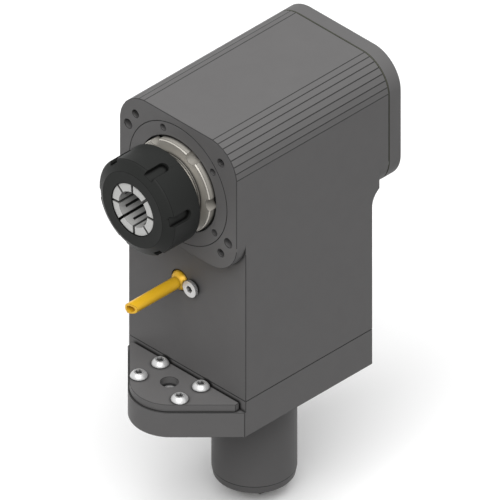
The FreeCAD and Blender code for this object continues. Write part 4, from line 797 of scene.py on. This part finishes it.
@dataclass(frozen=True)
class Studio:
    """The plain set: floor, light and camera at the photograph's angle.

    Attributes:
        azimuth: of the camera, in degrees from the front.
        elevation: of the camera, in degrees.
        view_mm: side of the square picture.
        target: the middle of the picture, in mm.
        distance: from the target to the camera, in m.
        floor_z: height of the floor, in mm, just under the tang.
        floor_half: half the side of the floor, in m.
        floor_fill: the floor's colour for the light that it throws up.
        sky_low: strength of the sky's light at the horizon.
        sky_rise: how much stronger it is overhead.
        sun: strength of the lamp.
        sun_spread: its width as seen from the floor, in degrees.
        sun_from: the direction to it.
    """

    azimuth: float = 45.0
    elevation: float = 35.264
    view_mm: float = 290.2
    target: tuple[float, float, float] = (-1.765, -1.765, 81.43)
    distance: float = 1.5
    floor_z: float = -86.3
    floor_half: float = 3.0
    floor_fill: str = "#666666"
    sky_low: float = 0.13
    sky_rise: float = 0.62
    sun: float = 2.8
    sun_spread: float = 60.0
    sun_from: tuple[float, float, float] = (0.38, -0.54, 1.0)

    def build(self) -> None:
        """Makes the whole set."""
        self.floor()
        self.world()
        self.lamp()
        self.camera()
        bpy.context.scene.view_settings.view_transform = "Standard"

    def seen(self, tree: bpy.types.NodeTree) -> bpy.types.NodeSocket:
        """1 where the camera, a mirror or glass looks, 0 for light that falls on things.

        Args:
            tree: the tree that needs it.

        Returns:
            The socket.
        """
        rays = add_node(tree, "ShaderNodeLightPath").outputs
        both = maths(tree, "MAXIMUM", rays["Is Camera Ray"], rays["Is Glossy Ray"])
        return maths(tree, "MAXIMUM", both, rays["Is Transmission Ray"])

    def world(self) -> None:
        """A white surrounding that gives plain soft light."""
        world = bpy.data.worlds.new("soft_sky")
        world.use_nodes = True
        tree = world.node_tree
        tree.nodes.clear()
        direction = add_node(tree, "ShaderNodeTexCoord").outputs["Generated"]
        height = add_node(tree, "ShaderNodeSeparateXYZ", {0: direction}).outputs[2]
        fall = maths(tree, "MULTIPLY_ADD", maths(tree, "MAXIMUM", height, 0.0), self.sky_rise, self.sky_low)
        seen = self.seen(tree)
        strength = maths(tree, "ADD", seen, maths(tree, "MULTIPLY", maths(tree, "SUBTRACT", 1.0, seen), fall))
        sky = add_node(tree, "ShaderNodeBackground", {"Color": (1.0, 1.0, 1.0, 1.0), "Strength": strength})
        output = add_node(tree, "ShaderNodeOutputWorld")
        tree.links.new(sky.outputs[0], output.inputs[0])
        bpy.context.scene.world = world

    def floor(self) -> None:
        """A wide pale floor under the shank."""
        mesh = bpy.data.meshes.new("floor")
        half, z = self.floor_half, self.floor_z * MM
        corners = [(-half, -half, z), (half, -half, z), (half, half, z), (-half, half, z)]
        mesh.from_pydata(corners, [], [(0, 1, 2, 3)])
        floor = bpy.data.objects.new("floor", mesh)
        bpy.context.scene.collection.objects.link(floor)
        material = bpy.data.materials.new("pale_floor")
        material.use_nodes = True
        tree = material.node_tree
        tree.nodes.clear()
        white, fill = linear("#FFFFFF"), linear(self.floor_fill)
        colour = add_node(tree, "ShaderNodeMix", {"Factor": self.seen(tree), "A": fill, "B": white},
                          data_type="RGBA")
        surface = add_node(tree, "ShaderNodeBsdfDiffuse", {"Color": colour.outputs["Result"]})
        output = add_node(tree, "ShaderNodeOutputMaterial")
        tree.links.new(surface.outputs[0], output.inputs[0])
        mesh.materials.append(material)

    def lamp(self) -> None:
        """One soft lamp from above, a little to the front and to the right."""
        data = bpy.data.lights.new("soft_top", "SUN")
        data.energy = self.sun
        data.angle = math.radians(self.sun_spread)
        lamp = bpy.data.objects.new("soft_top", data)
        lamp.rotation_euler = Vector(self.sun_from).to_track_quat("Z", "Y").to_euler()
        bpy.context.scene.collection.objects.link(lamp)

    def camera(self) -> None:
        """A parallel camera, as in the photograph."""
        turn, rise = math.radians(self.azimuth), math.radians(self.elevation)
        away = Vector((math.sin(turn) * math.cos(rise), -math.cos(turn) * math.cos(rise), math.sin(rise)))
        data = bpy.data.cameras.new("photo_view")
        data.type = "ORTHO"
        data.ortho_scale = self.view_mm * MM
        data.clip_end = 10.0
        camera = bpy.data.objects.new("photo_view", data)
        camera.location = Vector(self.target) * MM + away * self.distance
        camera.rotation_euler = away.to_track_quat("Z", "Y").to_euler()
        bpy.context.scene.collection.objects.link(camera)
        bpy.context.scene.camera = camera


BEARINGS: tuple[BearingDress, ...] = (
    BearingDress("nose_bearing_balls", 14, 2, 28.25, 3.4, 12.0, -53.0, True),
    BearingDress("rear_bearing_balls", 9, 1, 19.25, 3.95, 15.0, 33.0, True),
    BearingDress("upper_bearing_balls", 9, 2, 19.25, 3.95, 15.0, 98.0, False),
    BearingDress("foot_bearing_balls", 9, 1, 15.5, 3.2, 12.0, -69.0, False),
)


def main() -> None:
    """Dresses the frame and sets up the picture."""
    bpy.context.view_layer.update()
    shop = MaterialShop()
    piece = Piece(shop)
    piece.paint_frame()
    repeats = Repeats()
    HousingDress().dress(piece, repeats)
    FastenerDress().dress(piece)
    SpindleDress().dress(piece)
    NozzleDress().dress(piece)
    for bearing in BEARINGS:
        bearing.dress(piece, repeats)
    Studio().build()


if __name__ == "__main__":
    main()
